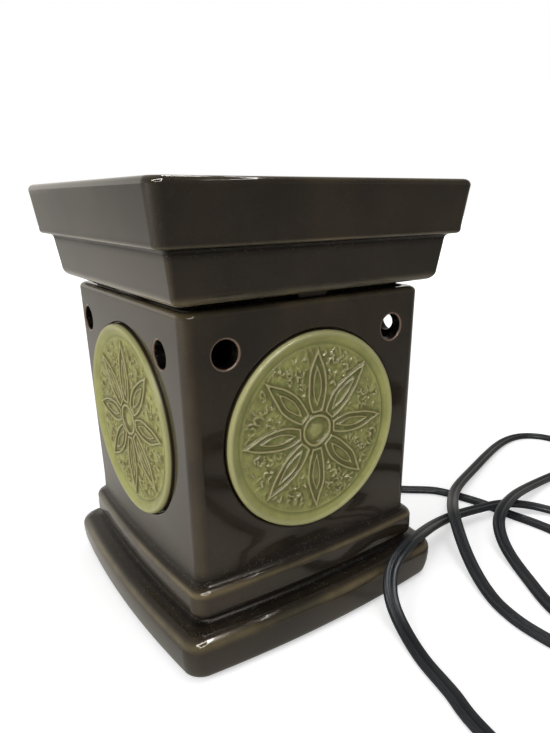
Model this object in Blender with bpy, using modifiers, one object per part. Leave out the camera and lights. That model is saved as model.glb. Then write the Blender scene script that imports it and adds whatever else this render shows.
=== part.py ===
"""Electric wax warmer: a square glazed ceramic lamp body with a lift-off two-tier dish.

Every length is in metres. The warmer stands on z = 0 with its centre line on the Z axis.
Its front face looks along -Y and its left face along -X.
"""

import math

import bmesh
import bpy
import numpy as np
from mathutils import Matrix, Vector

MM = 0.001

# Clearances
SEAT_GAP = 0.3 * MM
SHAFT_GAP = 0.3 * MM
MERGE = 0.00001

# Lamp socket
NIPPLE_RADIUS = 4.8 * MM
NIPPLE_BORE = 3.6 * MM
NIPPLE_BOTTOM = 16.5 * MM
NIPPLE_TOP = 35.5 * MM
LOCK_WASHER_RADIUS = 7.6 * MM
LOCK_WASHER_THICKNESS = 1.0 * MM
NIPPLE_NUT_ACROSS = 14.0 * MM
NIPPLE_NUT_LENGTH = 4.0 * MM
SOCKET_RADIUS = 11.0 * MM
SOCKET_TOP = 60.0 * MM
SOCKET_CHAMFER = 0.9 * MM
CHAMBER_BOTTOM = 37.0 * MM
CHAMBER_RADIUS = 6.2 * MM
DISC_SEAT = 42.7 * MM
SOCKET_BORE = 7.3 * MM
DISC_THICKNESS = 1.2 * MM
RIVET_RADIUS = 1.4 * MM
RIVET_HEAD_RADIUS = 3.0 * MM
RIVET_HEAD_LENGTH = 0.8 * MM
RIVET_SWAGE_RADIUS = 2.4 * MM
RIVET_SWAGE_LENGTH = 0.9 * MM
SHELL_OUTER = 6.9 * MM
SHELL_WALL = 0.5 * MM
SHELL_SETBACK = 0.5 * MM

# Bulb
BULB_BASE_RADIUS = 5.9 * MM
BULB_BASE_WALL = 0.5 * MM
BULB_BASE_LENGTH = 12.4 * MM
BULB_THREAD_DEPTH = 0.35 * MM
BULB_THREAD_TURNS = 4
BULB_TIP_RADIUS = 2.3 * MM
BULB_TIP_LENGTH = 1.2 * MM
BULB_CONE_LENGTH = 2.3 * MM
GLOBE_RADIUS = 25.0 * MM
GLOBE_CLEARANCE = 4.5 * MM
GLOBE_TOP = SOCKET_TOP + GLOBE_CLEARANCE + 2.0 * GLOBE_RADIUS
GLASS_WALL = 0.8 * MM
NECK_RADIUS = 5.1 * MM
NECK_BOTTOM = 55.5 * MM
NECK_CLEAR = 0.6 * MM
STEM_BOTTOM = 56.0 * MM
STEM_LENGTH = 22.0 * MM
STEM_RADIUS = 1.2 * MM
STEM_BUTTON_RADIUS = 1.6 * MM
LEAD_WIRE_RADIUS = 0.35 * MM
FILAMENT_RADIUS = 0.3 * MM
FILAMENT_HALF_SPAN = 9.0 * MM
FILAMENT_DROP = 26.5 * MM
FILAMENT_HEIGHT = GLOBE_TOP - FILAMENT_DROP

# Column of the body, as tall as the bulb needs
BODY_BOTTOM = 1.5 * MM
GLOBE_HEADROOM = 12.5 * MM
COLUMN_TOP = GLOBE_TOP + GLOBE_HEADROOM
COLUMN_TOP_HALF = 50.7 * MM
COLUMN_BOTTOM = 33.4 * MM
COLUMN_BOTTOM_HALF = 49.2 * MM
COLUMN_FLARE_TOP = 40.6 * MM
COLUMN_BOW = 1.6 * MM
COLUMN_CORNER = 4.5 * MM
CORNER_GROWTH = 0.15
MIN_CORNER = 1.6 * MM
COLUMN_WALL = 4.7 * MM
LIP_OUTER_ROUND = 2.2 * MM
LIP_INNER_ROUND = 1.4 * MM

# Upper roll of the base
ROLL_HALF = 52.2 * MM
ROLL_BOTTOM = 21.0 * MM
ROLL_TOP = 30.8 * MM
ROLL_DEPTH = 2.6 * MM
ROLL_SWEEP_DEGREES = 78.0
ROLL_BOW = 2.6 * MM
GROOVE_HALF = 50.5 * MM
GROOVE_HEIGHT = 19.4 * MM

# Plinth of the base
PLINTH_HALF = 58.6 * MM
PLINTH_TOP = 17.6 * MM
PLINTH_TOP_ROUND = 4.6 * MM
PLINTH_FOOT_ROUND = 1.8 * MM
PLINTH_FOOT_RISE = 5.0 * MM
PLINTH_BOW = 3.4 * MM

# Inside of the base
FLOOR_TOP = 24.0 * MM
FLOOR_THICKNESS = 5.0 * MM
FLOOR_FILLET = 2.0 * MM
FLOOR_HOLE_HALF = 30.0 * MM
FLOOR_HOLE_CORNER = 20.0 * MM
RECESS_HALF = 46.0 * MM
REBATE_HALF = 51.6 * MM
REBATE_TOP = 6.0 * MM

# Vent holes, two on each face; the left face's pair sits off centre with one hole low
VENT_RADIUS = 4.8 * MM
VENT_OFFSET = 36.0 * MM
VENT_DROP = 14.5 * MM
VENT_HEIGHT = COLUMN_TOP - VENT_DROP
LEFT_VENT_SHIFT = 4.6 * MM
LEFT_VENT_SAG = 1.7 * MM

# Medallions, one on each face; the left one sits a little off centre
MEDALLION_RADIUS = 37.2 * MM
MEDALLION_DROP = 48.3 * MM
MEDALLION_HEIGHT = COLUMN_TOP - MEDALLION_DROP
MEDALLION_RECESS = 2.0 * MM
LEFT_MEDALLION_SHIFT = 1.5 * MM
MEDALLION_RIM_PROUD = 2.3 * MM
MEDALLION_RIM_WIDTH = 6.0 * MM
MEDALLION_FIELD_PROUD = 0.6 * MM
BOSS_RADIUS = 3.4 * MM
BOSS_PROUD = 1.9 * MM
CENTRE_RING_RADIUS = 7.2 * MM
CENTRE_RING_WIDTH = 2.2 * MM
CENTRE_RING_PROUD = 1.6 * MM
PETAL_COUNT = 8
PETAL_INNER = 7.8 * MM
PETAL_OUTER = 30.6 * MM
PETAL_HALF_WIDTH = 4.6 * MM
PETAL_PROUD = 1.5 * MM
PETAL_BEVEL = 1.1 * MM
PETAL_EDGE = 0.2 * MM

# Dish
DISH_LIFT = 2.4 * MM
DISH_BOTTOM = COLUMN_TOP + DISH_LIFT
DISH_UNDER_RISE = 4.0 * MM
LOWER_TIER_BOTTOM = DISH_BOTTOM + DISH_UNDER_RISE
LOWER_TIER_HEIGHT = 10.8 * MM
LOWER_TIER_TOP = LOWER_TIER_BOTTOM + LOWER_TIER_HEIGHT
TIER_STEP_HEIGHT = 3.4 * MM
UPPER_TIER_BOTTOM = LOWER_TIER_TOP + TIER_STEP_HEIGHT
UPPER_TIER_HEIGHT = 18.4 * MM
DISH_TOP = UPPER_TIER_BOTTOM + UPPER_TIER_HEIGHT
RIM_HALF = 63.5 * MM
RIM_CORNER = 4.4 * MM
RIM_ROUND = 2.2 * MM
DISH_WALL = 5.0 * MM
UPPER_TIER_BOTTOM_HALF = 61.4 * MM
LOWER_TIER_TOP_HALF = 56.7 * MM
LOWER_TIER_BOTTOM_HALF = 55.2 * MM
DISH_UNDER_ROUND = 3.6 * MM
DISH_UNDER_SWEEP_DEGREES = 70.0
DISH_FLOOR = 4.8 * MM
WELL_FLOOR_HALF = 40.0 * MM
COLLAR_CLEARANCE = 1.4 * MM
COLLAR_WALL = 3.2 * MM
COLLAR_DEPTH = 7.0 * MM
UNDERSIDE_DRAFT = 0.2 * MM
PAD_LENGTH = 12.0 * MM
PAD_WIDTH = 1.8 * MM

# Base plate and its fixings
PLATE_BOTTOM = 2.5 * MM
FOOT_RADIUS = 5.5 * MM
FOOT_OFFSET = 38.0 * MM
FOOT_STEM_RADIUS = 1.9 * MM
FOOT_BARB_RADIUS = 2.8 * MM
FOOT_BARB_LENGTH = 2.4 * MM
FOOT_BARB_EDGE = 0.4 * MM
FOOT_DRAFT = 0.5 * MM
SCREW_OFFSET = 24.0 * MM
SCREW_RADIUS = 2.0 * MM
SCREW_HEAD_RADIUS = 3.9 * MM
SCREW_HEAD_LENGTH = 2.5 * MM
SCREW_HEAD_ROUND = 1.2 * MM
SCREW_CHAMFER = 0.4 * MM
SCREW_BOSS_RADIUS = 6.5 * MM
SCREW_BOSS_TOP = 10.0 * MM
SCREW_SEAT = 6.0 * MM
SCREW_TOP = 30.5 * MM
BAR_LENGTH = 80.0 * MM
BAR_WIDTH = 15.0 * MM
BAR_THICKNESS = 1.6 * MM
SCREW_NUT_ACROSS = 7.0 * MM
SCREW_NUT_LENGTH = 3.2 * MM

# Wiring inside the body
OUTLET_HEIGHT = 11.4 * MM
OUTLET_RADIUS = 4.2 * MM
BUSH_BORE = 2.5 * MM
BUSH_FLANGE_RADIUS = 5.4 * MM
BUSH_FLANGE_THICKNESS = 1.6 * MM
BUSH_ROOT_RADIUS = 4.5 * MM
BUSH_TIP_RADIUS = 3.3 * MM
BUSH_NOSE_LENGTH = 16.6 * MM
BUSH_LOCK_LIP = 0.9 * MM
LEAD_RADIUS = 1.0 * MM
LEAD_SPACING = 1.2 * MM
NEUTRAL_OFFSET = 5.1 * MM

# Cord, a flat twin cord drawn as a round tube of the same section area
CORD_RADIUS = 2.1 * MM
CORD_POINTS = 80
CORD_ROUND_STEPS = 2
COIL_CENTRE_X = 34.5 * MM
COIL_CENTRE_Y = -184.0 * MM
COIL_RADIUS = 31.0 * MM
COIL_TURNS = 2.25
COIL_POINTS_PER_LOOP = 24
COIL_PITCH = 6.2 * MM
COIL_LAYER = 4.9 * MM

# Inline switch
SWITCH_LENGTH = 46.0 * MM
SWITCH_WIDTH = 19.0 * MM
SWITCH_HALF_HEIGHT = 8.0 * MM
SWITCH_CORNER = 4.0 * MM
SWITCH_EDGE = 1.6 * MM
SWITCH_START = 66.0 * MM
SWITCH_CAVITY_LENGTH = 28.0 * MM
SWITCH_WALL = 2.6 * MM
WHEEL_RADIUS = 8.0 * MM
WHEEL_THICKNESS = 5.0 * MM
WHEEL_OFFSET = 5.0 * MM
WHEEL_RIBS = 16
WHEEL_RIB_DEPTH = 0.5 * MM
WHEEL_PIN_RADIUS = 1.2 * MM
WHEEL_PIN_LENGTH = 11.0 * MM
CONTACT_THICKNESS = 0.6 * MM
CONTACT_LENGTH = 7.0 * MM
CONTACT_HEIGHT = 4.0 * MM
CONTACT_OFFSET = 10.2 * MM
SWITCH_SCREW_RADIUS = 1.2 * MM
SWITCH_SCREW_HEAD = 2.3 * MM
SWITCH_SCREW_HEAD_LENGTH = 1.7 * MM
SWITCH_SCREW_X = 18.5 * MM
SWITCH_SCREW_Y = 5.2 * MM
SWITCH_SCREW_SEAT = 3.0 * MM
SWITCH_SCREW_TOP = 13.0 * MM

# Plug
PLUG_START = 172.0 * MM
PLUG_LENGTH = 32.0 * MM
PLUG_HALF_WIDTH = 12.6 * MM
PLUG_HALF_HEIGHT = 8.0 * MM
BLADE_SPACING = 12.7 * MM
BLADE_THICKNESS = 1.5 * MM
BLADE_LENGTH = 16.0 * MM
BLADE_ROOT = 5.0 * MM
BLADE_BEVEL = 0.3 * MM
NARROW_BLADE = 6.3 * MM
WIDE_BLADE = 7.9 * MM

# Mesh fineness
CORNER_STEPS = 4
SIDE_POINTS = 5
DISC_STEPS = 28
TURN_STEPS = 20
SMALL_TURN_STEPS = 12

FACES = ("front", "right", "back", "left")

# The cord's run from the outlet to the coil, point by point in millimetres
CORD_ROUTE_MM = (
    (2.4, 93.0, 8.6), (12.0, 103.5, 4.2), (31.0, 108.0, 2.1), (51.0, 96.0, 2.1),
    (67.5, 68.0, 2.1), (84.0, 33.0, 2.1), (103.3, 5.4, 2.1), (116.1, -5.7, 2.1), (121.5, -15.9, 2.1),
    (126.4, -32.9, 2.1), (127.7, -45.1, 2.1), (129.6, -55.9, 2.1), (131.3, -68.6, 2.1),
    (130.0, -92.0, 2.1), (122.0, -114.0, 2.1), (105.0, -129.0, 2.1), (86.0, -130.0, 2.1),
    (78.0, -118.0, 2.1), (80.8, -101.6, 2.1), (87.2, -86.7, 2.1), (93.9, -73.3, 4.0),
    (100.2, -63.2, 7.5), (107.4, -56.8, 11.0), (125.2, -49.6, 11.8), (149.8, -42.4, 8.0),
    (178.6, -37.4, 4.0), (203.0, -35.0, 2.1), (224.0, -30.0, 2.1), (237.0, -16.0, 2.1),
    (238.0, 1.2, 2.1), (229.4, 12.4, 2.1), (214.9, 15.0, 2.5), (188.4, 8.2, 4.0),
    (149.4, -7.0, 6.0), (119.6, -20.0, 8.0), (100.6, -33.5, 11.5), (86.0, -46.9, 14.2),
    (77.6, -59.5, 8.5), (68.9, -74.9, 4.0), (61.9, -91.0, 2.1), (59.1, -104.5, 2.1),
    (59.3, -115.6, 2.1), (63.0, -134.0, 2.1), (80.0, -152.0, 2.1), (108.0, -160.0, 2.1),
    (135.0, -149.0, 2.1), (151.0, -124.0, 2.1), (154.0, -92.0, 2.1), (148.0, -57.6, 2.3),
    (139.8, -49.8, 4.5), (127.6, -44.6, 6.8), (116.3, -41.8, 6.8), (97.3, -40.5, 7.0),
    (83.5, -43.0, 9.0), (68.4, -48.6, 15.5), (52.8, -55.6, 20.4), (42.8, -59.3, 21.4),
    (35.2, -61.9, 20.8), (29.4, -63.6, 18.2), (24.9, -66.6, 13.5), (21.7, -71.5, 8.5),
    (18.6, -80.8, 4.0), (13.5, -97.2, 2.1), (10.1, -112.3, 2.1), (7.5, -120.5, 2.1),
    (4.6, -140.0, 2.1), (3.5, -160.0, 2.1),
)

# The cord between the switch and the plug, in millimetres
PLUG_LEAD_ROUTE_MM = ((130.0, -215.0, 4.4), (142.0, -214.0, 2.8), (156.0, -213.2, 5.2))
PLUG_LINE_Y = -213.0 * MM


def clear_scene():
    """Take every object out of the scene."""
    for item in list(bpy.data.objects):
        bpy.data.objects.remove(item, do_unlink=True)


def make_collection(name):
    """A new collection linked to the scene."""
    group = bpy.data.collections.new(name)
    bpy.context.scene.collection.children.link(group)
    return group


clear_scene()
PARTS = make_collection("electric_wax_warmer")
CUTTERS = make_collection("cutters")


def make_material(name, colour, roughness, metallic=0.0):
    """A plain Principled material."""
    material = bpy.data.materials.new(name)
    material.use_nodes = True
    shader = material.node_tree.nodes["Principled BSDF"]
    shader.inputs["Base Color"].default_value = (*colour, 1.0)
    shader.inputs["Roughness"].default_value = roughness
    shader.inputs["Metallic"].default_value = metallic
    material.diffuse_color = (*colour, 1.0)
    return material


# Materials
BROWN_GLAZE = make_material("brown_glaze", (0.045, 0.032, 0.024), 0.15)
GREEN_GLAZE = make_material("green_glaze", (0.30, 0.32, 0.13), 0.2)
BLACK_PLASTIC = make_material("black_plastic", (0.02, 0.02, 0.022), 0.45)
BLACK_RUBBER = make_material("black_rubber", (0.025, 0.027, 0.03), 0.7)
PHENOLIC = make_material("phenolic", (0.03, 0.022, 0.018), 0.4)
FIBRE = make_material("red_fibre", (0.32, 0.07, 0.04), 0.7)
STEEL = make_material("steel", (0.55, 0.55, 0.56), 0.3, 1.0)
BRASS = make_material("brass", (0.72, 0.52, 0.22), 0.3, 1.0)
GLASS = make_material("glass", (0.85, 0.87, 0.86), 0.05)
BLACK_GLASS = make_material("black_glass", (0.015, 0.015, 0.02), 0.1)
TUNGSTEN = make_material("tungsten", (0.35, 0.35, 0.36), 0.4, 1.0)
CORD_JACKET = make_material("cord_jacket", (0.03, 0.034, 0.038), 0.45)
LEAD_BLACK = make_material("lead_black", (0.02, 0.02, 0.02), 0.5)
LEAD_WHITE = make_material("lead_white", (0.7, 0.7, 0.68), 0.5)


def add_object(name, mesh, material, group=PARTS):
    """Put a mesh in the scene as a named object."""
    item = bpy.data.objects.new(name, mesh)
    group.objects.link(item)
    if material is not None and not mesh.materials:
        mesh.materials.append(material)
    return item


def mark_cutter(item):
    """Show a cutting tool as a wire and keep it out of the render."""
    item.hide_render = True
    item.display_type = "WIRE"
    return item


def mesh_from_bmesh(name, shape, smooth_angle=None):
    """Write a bmesh to a new mesh with its faces turned outward."""
    bmesh.ops.recalc_face_normals(shape, faces=shape.faces[:])
    mesh = bpy.data.meshes.new(name)
    shape.to_mesh(mesh)
    shape.free()
    if smooth_angle is not None:
        mesh.shade_smooth()
        mesh.set_sharp_from_angle(angle=math.radians(smooth_angle))
    return mesh


def rounded_square(half, corner, z, steps, half_y=None):
    """One level ring of a square or rectangle with round corners."""
    half_y = half if half_y is None else half_y
    corner = min(corner, 0.98 * min(half, half_y))
    ring = []
    for quarter, (side_x, side_y) in enumerate(((1, 1), (-1, 1), (-1, -1), (1, -1))):
        for step in range(steps + 1):
            angle = math.radians(90.0 * (quarter + step / steps))
            x = side_x * (half - corner) + corner * math.cos(angle)
            y = side_y * (half_y - corner) + corner * math.sin(angle)
            ring.append(Vector((x, y, z)))
    return ring


def bowed_square(half, z, bow=0.0, corner=None):
    """A level ring of the body: rounded corners, and sides that swell outward by the bow."""
    corner = corner_at(half) if corner is None else corner
    plain = rounded_square(half, corner, z, CORNER_STEPS)
    ring = []
    for index, point in enumerate(plain):
        ring.append(point)
        if index % (CORNER_STEPS + 1) == CORNER_STEPS:
            after = plain[(index + 1) % len(plain)]
            for step in range(1, SIDE_POINTS + 1):
                ring.append(point.lerp(after, step / (SIDE_POINTS + 1)))
    for point in ring:
        x, y = point.x, point.y
        point.x += bow * x / half * (1.0 - (y / half) ** 2)
        point.y += bow * y / half * (1.0 - (x / half) ** 2)
    return ring


def loft(name, rings, endless=False, smooth_angle=35.0):
    """Skin a row of rings that have the same number of points."""
    shape = bmesh.new()
    rows = [[shape.verts.new(point) for point in ring] for ring in rings]
    pairs = list(zip(rows, rows[1:]))
    if endless:
        pairs.append((rows[-1], rows[0]))
    for lower, upper in pairs:
        for i in range(len(lower)):
            j = (i + 1) % len(lower)
            shape.faces.new((lower[i], lower[j], upper[j], upper[i]))
    if not endless:
        shape.faces.new(list(reversed(rows[0])))
        shape.faces.new(rows[-1])
    return mesh_from_bmesh(name, shape, smooth_angle)


def arc(centre, radii, start, stop, steps):
    """Points of an arc or a quarter ellipse, with its angles in degrees."""
    points = []
    for step in range(steps + 1):
        angle = math.radians(start + (stop - start) * step / steps)
        points.append((centre[0] + radii[0] * math.cos(angle), centre[1] + radii[1] * math.sin(angle)))
    return points


def turned(name, profile, material, steps=TURN_STEPS, group=PARTS, smooth=True):
    """Spin a profile of (radius, height) points, given from its top down the outer side."""
    mesh = bpy.data.meshes.new(name)
    points = [(radius, 0.0, height) for radius, height in profile]
    closed = profile[0][0] > 0.0
    edges = [(i, i + 1) for i in range(len(points) - 1)]
    if closed:
        edges.append((len(points) - 1, 0))
    mesh.from_pydata(points, edges, [])
    item = add_object(name, mesh, material, group)
    screw = item.modifiers.new("turn", "SCREW")
    screw.axis = "Z"
    screw.angle = math.radians(360.0)
    screw.steps = steps
    screw.render_steps = steps
    screw.use_merge_vertices = True
    screw.merge_threshold = MERGE
    screw.use_smooth_shade = smooth
    return item


def box(name, size, centre, material, group=PARTS, bevel=0.0):
    """A cuboid made from the cube primitive, with its scale applied."""
    shape = bmesh.new()
    bmesh.ops.create_cube(shape, size=1.0, matrix=Matrix.Diagonal((*size, 1.0)))
    item = add_object(name, mesh_from_bmesh(name, shape), material, group)
    item.location = centre
    if bevel > 0.0:
        soften = item.modifiers.new("edges", "BEVEL")
        soften.width = bevel
        soften.segments = 1
    return item


def cylinder_cutter(name, radius, length, centre, axis="Z", steps=SMALL_TURN_STEPS):
    """A round cutting tool along one axis, centred on a point."""
    shape = bmesh.new()
    bmesh.ops.create_cone(shape, cap_ends=True, segments=steps, radius1=radius, radius2=radius,
                          depth=length)
    item = add_object(name, mesh_from_bmesh(name, shape), None, CUTTERS)
    item.location = centre
    if axis == "X":
        item.rotation_euler = (0.0, math.radians(90.0), 0.0)
    if axis == "Y":
        item.rotation_euler = (math.radians(90.0), 0.0, 0.0)
    return mark_cutter(item)


def box_cutter(name, size, centre):
    """A cuboid cutting tool."""
    return mark_cutter(box(name, size, centre, None, CUTTERS))


def combine(target, tool, operation):
    """Cut or join with an exact Boolean that stays live on the target."""
    boolean = target.modifiers.new(tool.name, "BOOLEAN")
    boolean.operation = operation
    boolean.solver = "EXACT"
    boolean.object = tool
    return target


def cut(target, tool):
    """Take the tool's shape out of the target."""
    return combine(target, tool, "DIFFERENCE")


def tube(name, points, radius, material, level=CORD_ROUND_STEPS):
    """A round tube with filled ends through the points, one straight piece between each two."""
    curve = bpy.data.curves.new(name, "CURVE")
    curve.dimensions = "3D"
    curve.bevel_depth = radius
    curve.bevel_resolution = level
    curve.use_fill_caps = True
    spline = curve.splines.new("POLY")
    spline.points.add(len(points) - 1)
    for spot, point in zip(spline.points, points):
        spot.co = (*point, 1.0)
    curve.materials.append(material)
    item = bpy.data.objects.new(name, curve)
    PARTS.objects.link(item)
    return item


def smooth_line(knots, count):
    """Evenly spaced points on a natural cubic curve through the knots."""
    knots = np.asarray(knots, float)
    spans = np.linalg.norm(np.diff(knots, axis=0), axis=1) ** 0.5
    at = np.concatenate(([0.0], np.cumsum(spans)))
    n = len(knots)
    system = np.zeros((n, n))
    wanted = np.zeros((n, 3))
    system[0, 0] = 1.0
    system[-1, -1] = 1.0
    for i in range(1, n - 1):
        before = at[i] - at[i - 1]
        after = at[i + 1] - at[i]
        system[i, i - 1] = before
        system[i, i] = 2.0 * (before + after)
        system[i, i + 1] = after
        rise = (knots[i + 1] - knots[i]) / after - (knots[i] - knots[i - 1]) / before
        wanted[i] = 6.0 * rise
    bend = np.linalg.solve(system, wanted)
    dense = []
    for i in range(n - 1):
        width = at[i + 1] - at[i]
        for share in np.linspace(0.0, 1.0, 24, endpoint=False):
            a = 1.0 - share
            b = share
            straight = a * knots[i] + b * knots[i + 1]
            curved = ((a ** 3 - a) * bend[i] + (b ** 3 - b) * bend[i + 1]) * width ** 2 / 6.0
            dense.append(straight + curved)
    dense.append(knots[-1])
    dense = np.array(dense)
    length = np.concatenate(([0.0], np.cumsum(np.linalg.norm(np.diff(dense, axis=0), axis=1))))
    spots = np.linspace(0.0, length[-1], count)
    return np.stack([np.interp(spots, length, dense[:, k]) for k in range(3)], axis=1)


def corner_at(half):
    """Corner radius of the body where its half width is the given one."""
    return max(MIN_CORNER, COLUMN_CORNER + CORNER_GROWTH * (half - COLUMN_TOP_HALF))


def column_half_at(z):
    """Half width of the column at a height."""
    share = (z - COLUMN_BOTTOM) / (COLUMN_TOP - COLUMN_BOTTOM)
    return COLUMN_BOTTOM_HALF + share * (COLUMN_TOP_HALF - COLUMN_BOTTOM_HALF)


COLUMN_TILT = math.atan((COLUMN_TOP_HALF - COLUMN_BOTTOM_HALF) / (COLUMN_TOP - COLUMN_BOTTOM))
INNER_TOP_HALF = COLUMN_TOP_HALF - COLUMN_WALL
INNER_BOTTOM_HALF = COLUMN_BOTTOM_HALF - COLUMN_WALL
FLOOR_BOTTOM = FLOOR_TOP - FLOOR_THICKNESS


def face_point(face, outward, z, along=0.0):
    """A point at a distance from the centre line towards a face, and along it from its middle."""
    turn = Matrix.Rotation(math.radians(90.0 * FACES.index(face)), 4, "Z")
    return turn @ Vector((along, -outward, z))


def face_rotation(face):
    """Turns local +Z to look out of a face of the column, with local +Y up."""
    turn = math.radians(90.0 * FACES.index(face))
    return (math.radians(90.0) + COLUMN_TILT, 0.0, turn)


def build_body():
    """The ceramic body: column, roll and plinth outside, open cavity, cast floor and recess inside."""
    plinth = arc((PLINTH_HALF - PLINTH_FOOT_ROUND, BODY_BOTTOM + PLINTH_FOOT_RISE),
                 (PLINTH_FOOT_ROUND, PLINTH_FOOT_RISE), -90.0, 0.0, 3)
    plinth += arc((PLINTH_HALF - PLINTH_TOP_ROUND, PLINTH_TOP - PLINTH_TOP_ROUND),
                  (PLINTH_TOP_ROUND, PLINTH_TOP_ROUND), 0.0, 90.0, 4)
    roll = [(GROOVE_HALF + 0.3 * ROLL_DEPTH, 0.5 * (PLINTH_TOP + GROOVE_HEIGHT))]
    roll.append((GROOVE_HALF, GROOVE_HEIGHT))
    roll_half_height = 0.5 * (ROLL_TOP - ROLL_BOTTOM)
    roll += arc((ROLL_HALF - ROLL_DEPTH, ROLL_BOTTOM + roll_half_height),
                (ROLL_DEPTH, roll_half_height), -ROLL_SWEEP_DEGREES, ROLL_SWEEP_DEGREES, 6)
    outline = [(column_half_at(COLUMN_FLARE_TOP), COLUMN_FLARE_TOP)]
    outline += arc((COLUMN_TOP_HALF - LIP_OUTER_ROUND, COLUMN_TOP - LIP_OUTER_ROUND),
                   (LIP_OUTER_ROUND, LIP_OUTER_ROUND), 0.0, 90.0, 3)
    outline += arc((INNER_TOP_HALF + LIP_INNER_ROUND, COLUMN_TOP - LIP_INNER_ROUND),
                   (LIP_INNER_ROUND, LIP_INNER_ROUND), 90.0, 180.0, 2)
    outline += arc((INNER_BOTTOM_HALF - FLOOR_FILLET, FLOOR_TOP + FLOOR_FILLET),
                   (FLOOR_FILLET, FLOOR_FILLET), 0.0, -90.0, 2)
    underside = [(RECESS_HALF, FLOOR_BOTTOM), (RECESS_HALF, REBATE_TOP)]
    underside += [(REBATE_HALF, REBATE_TOP), (REBATE_HALF, BODY_BOTTOM)]
    rings = [bowed_square(half, z, PLINTH_BOW) for half, z in plinth]
    rings += [bowed_square(half, z, ROLL_BOW) for half, z in roll]
    rings.append(bowed_square(COLUMN_BOTTOM_HALF, COLUMN_BOTTOM, COLUMN_BOW))
    rings += [bowed_square(half, z) for half, z in outline]
    for z in (FLOOR_TOP, FLOOR_BOTTOM):
        rings.append(bowed_square(FLOOR_HOLE_HALF, z, corner=FLOOR_HOLE_CORNER))
    rings += [bowed_square(half, z) for half, z in underside]
    body = add_object("body_shell", loft("body_shell", rings, endless=True), BROWN_GLAZE)

    for face in FACES:
        shift = LEFT_VENT_SHIFT if face == "left" else 0.0
        sag = LEFT_VENT_SAG if face == "left" else 0.0
        axis = "Y" if face in ("front", "back") else "X"
        for side, drop in ((1, sag), (-1, 0.0)):
            along = side * VENT_OFFSET - shift
            spot = face_point(face, column_half_at(VENT_HEIGHT), VENT_HEIGHT - drop, along)
            name = "vent_%s_%s" % (face, "one" if side > 0 else "two")
            cut(body, cylinder_cutter(name, VENT_RADIUS, 3.0 * COLUMN_WALL, spot, axis))
    wall = column_half_at(MEDALLION_HEIGHT)
    for face in FACES:
        shift = LEFT_MEDALLION_SHIFT if face == "left" else 0.0
        tool = cylinder_cutter("recess_" + face, MEDALLION_RADIUS + SEAT_GAP, 2.0 * MEDALLION_RECESS,
                               face_point(face, wall, MEDALLION_HEIGHT, -shift), steps=DISC_STEPS)
        tool.rotation_euler = face_rotation(face)
        cut(body, tool)
    back = PLINTH_HALF + PLINTH_BOW
    cut(body, cylinder_cutter("outlet", OUTLET_RADIUS + SEAT_GAP, 2.0 * (back - RECESS_HALF),
                              (0.0, back, OUTLET_HEIGHT), "Y"))
    return body


def petal_ring(inset, z):
    """The outline of one pointed petal along +Y, drawn in by an inset."""
    length = PETAL_OUTER - PETAL_INNER
    middle = 0.5 * (PETAL_OUTER + PETAL_INNER)
    half_length = 0.5 * length - 1.6 * inset
    half_width = PETAL_HALF_WIDTH - inset
    ring = []
    shares = (-1.0, -0.55, 0.0, 0.55)
    for share in shares:
        ring.append(Vector((half_width * (1.0 - share * share), middle + share * half_length, z)))
    for share in shares:
        ring.append(Vector((-half_width * (1.0 - share * share), middle - share * half_length, z)))
    return ring


def build_medallions():
    """The four relief discs, one mesh shared by four objects."""
    inner_rim = MEDALLION_RADIUS - MEDALLION_RIM_WIDTH
    crest = MEDALLION_RADIUS - 0.45 * MEDALLION_RIM_WIDTH
    profile = [(0.0, BOSS_PROUD), (0.6 * BOSS_RADIUS, 0.9 * BOSS_PROUD)]
    profile.append((BOSS_RADIUS, MEDALLION_FIELD_PROUD))
    profile.append((CENTRE_RING_RADIUS - CENTRE_RING_WIDTH, MEDALLION_FIELD_PROUD))
    profile.append((CENTRE_RING_RADIUS - 0.6 * CENTRE_RING_WIDTH, CENTRE_RING_PROUD))
    profile.append((CENTRE_RING_RADIUS, MEDALLION_FIELD_PROUD))
    profile.append((inner_rim, MEDALLION_FIELD_PROUD))
    profile.append((0.5 * (inner_rim + crest), 0.8 * MEDALLION_RIM_PROUD))
    profile.append((crest, MEDALLION_RIM_PROUD))
    profile.append((0.3 * crest + 0.7 * MEDALLION_RADIUS, 0.75 * MEDALLION_RIM_PROUD))
    profile.append((MEDALLION_RADIUS, 0.2 * MEDALLION_RIM_PROUD))
    profile.append((MEDALLION_RADIUS, SEAT_GAP - MEDALLION_RECESS))
    profile.append((0.0, SEAT_GAP - MEDALLION_RECESS))
    disc = turned("medallion_front", profile, GREEN_GLAZE, steps=DISC_STEPS)
    rings = (petal_ring(0.0, 0.5 * MEDALLION_FIELD_PROUD),
             petal_ring(0.0, MEDALLION_FIELD_PROUD + PETAL_EDGE),
             petal_ring(PETAL_BEVEL, PETAL_PROUD))
    petal_mesh = loft("petal", rings)
    for count in range(PETAL_COUNT):
        petal = add_object("petal_%d" % (count + 1), petal_mesh, None, CUTTERS)
        petal.rotation_euler = (0.0, 0.0, math.radians(360.0 * count / PETAL_COUNT))
        combine(disc, mark_cutter(petal), "UNION")
    bpy.context.view_layer.update()
    settled = disc.evaluated_get(bpy.context.evaluated_depsgraph_get())
    mesh = bpy.data.meshes.new_from_object(settled)
    mesh.name = "medallion"
    bpy.data.objects.remove(disc, do_unlink=True)
    wall = column_half_at(MEDALLION_HEIGHT)
    for face in FACES:
        medallion = add_object("medallion_" + face, mesh, GREEN_GLAZE)
        shift = LEFT_MEDALLION_SHIFT if face == "left" else 0.0
        medallion.location = face_point(face, wall, MEDALLION_HEIGHT, -shift)
        medallion.rotation_euler = face_rotation(face)


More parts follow.
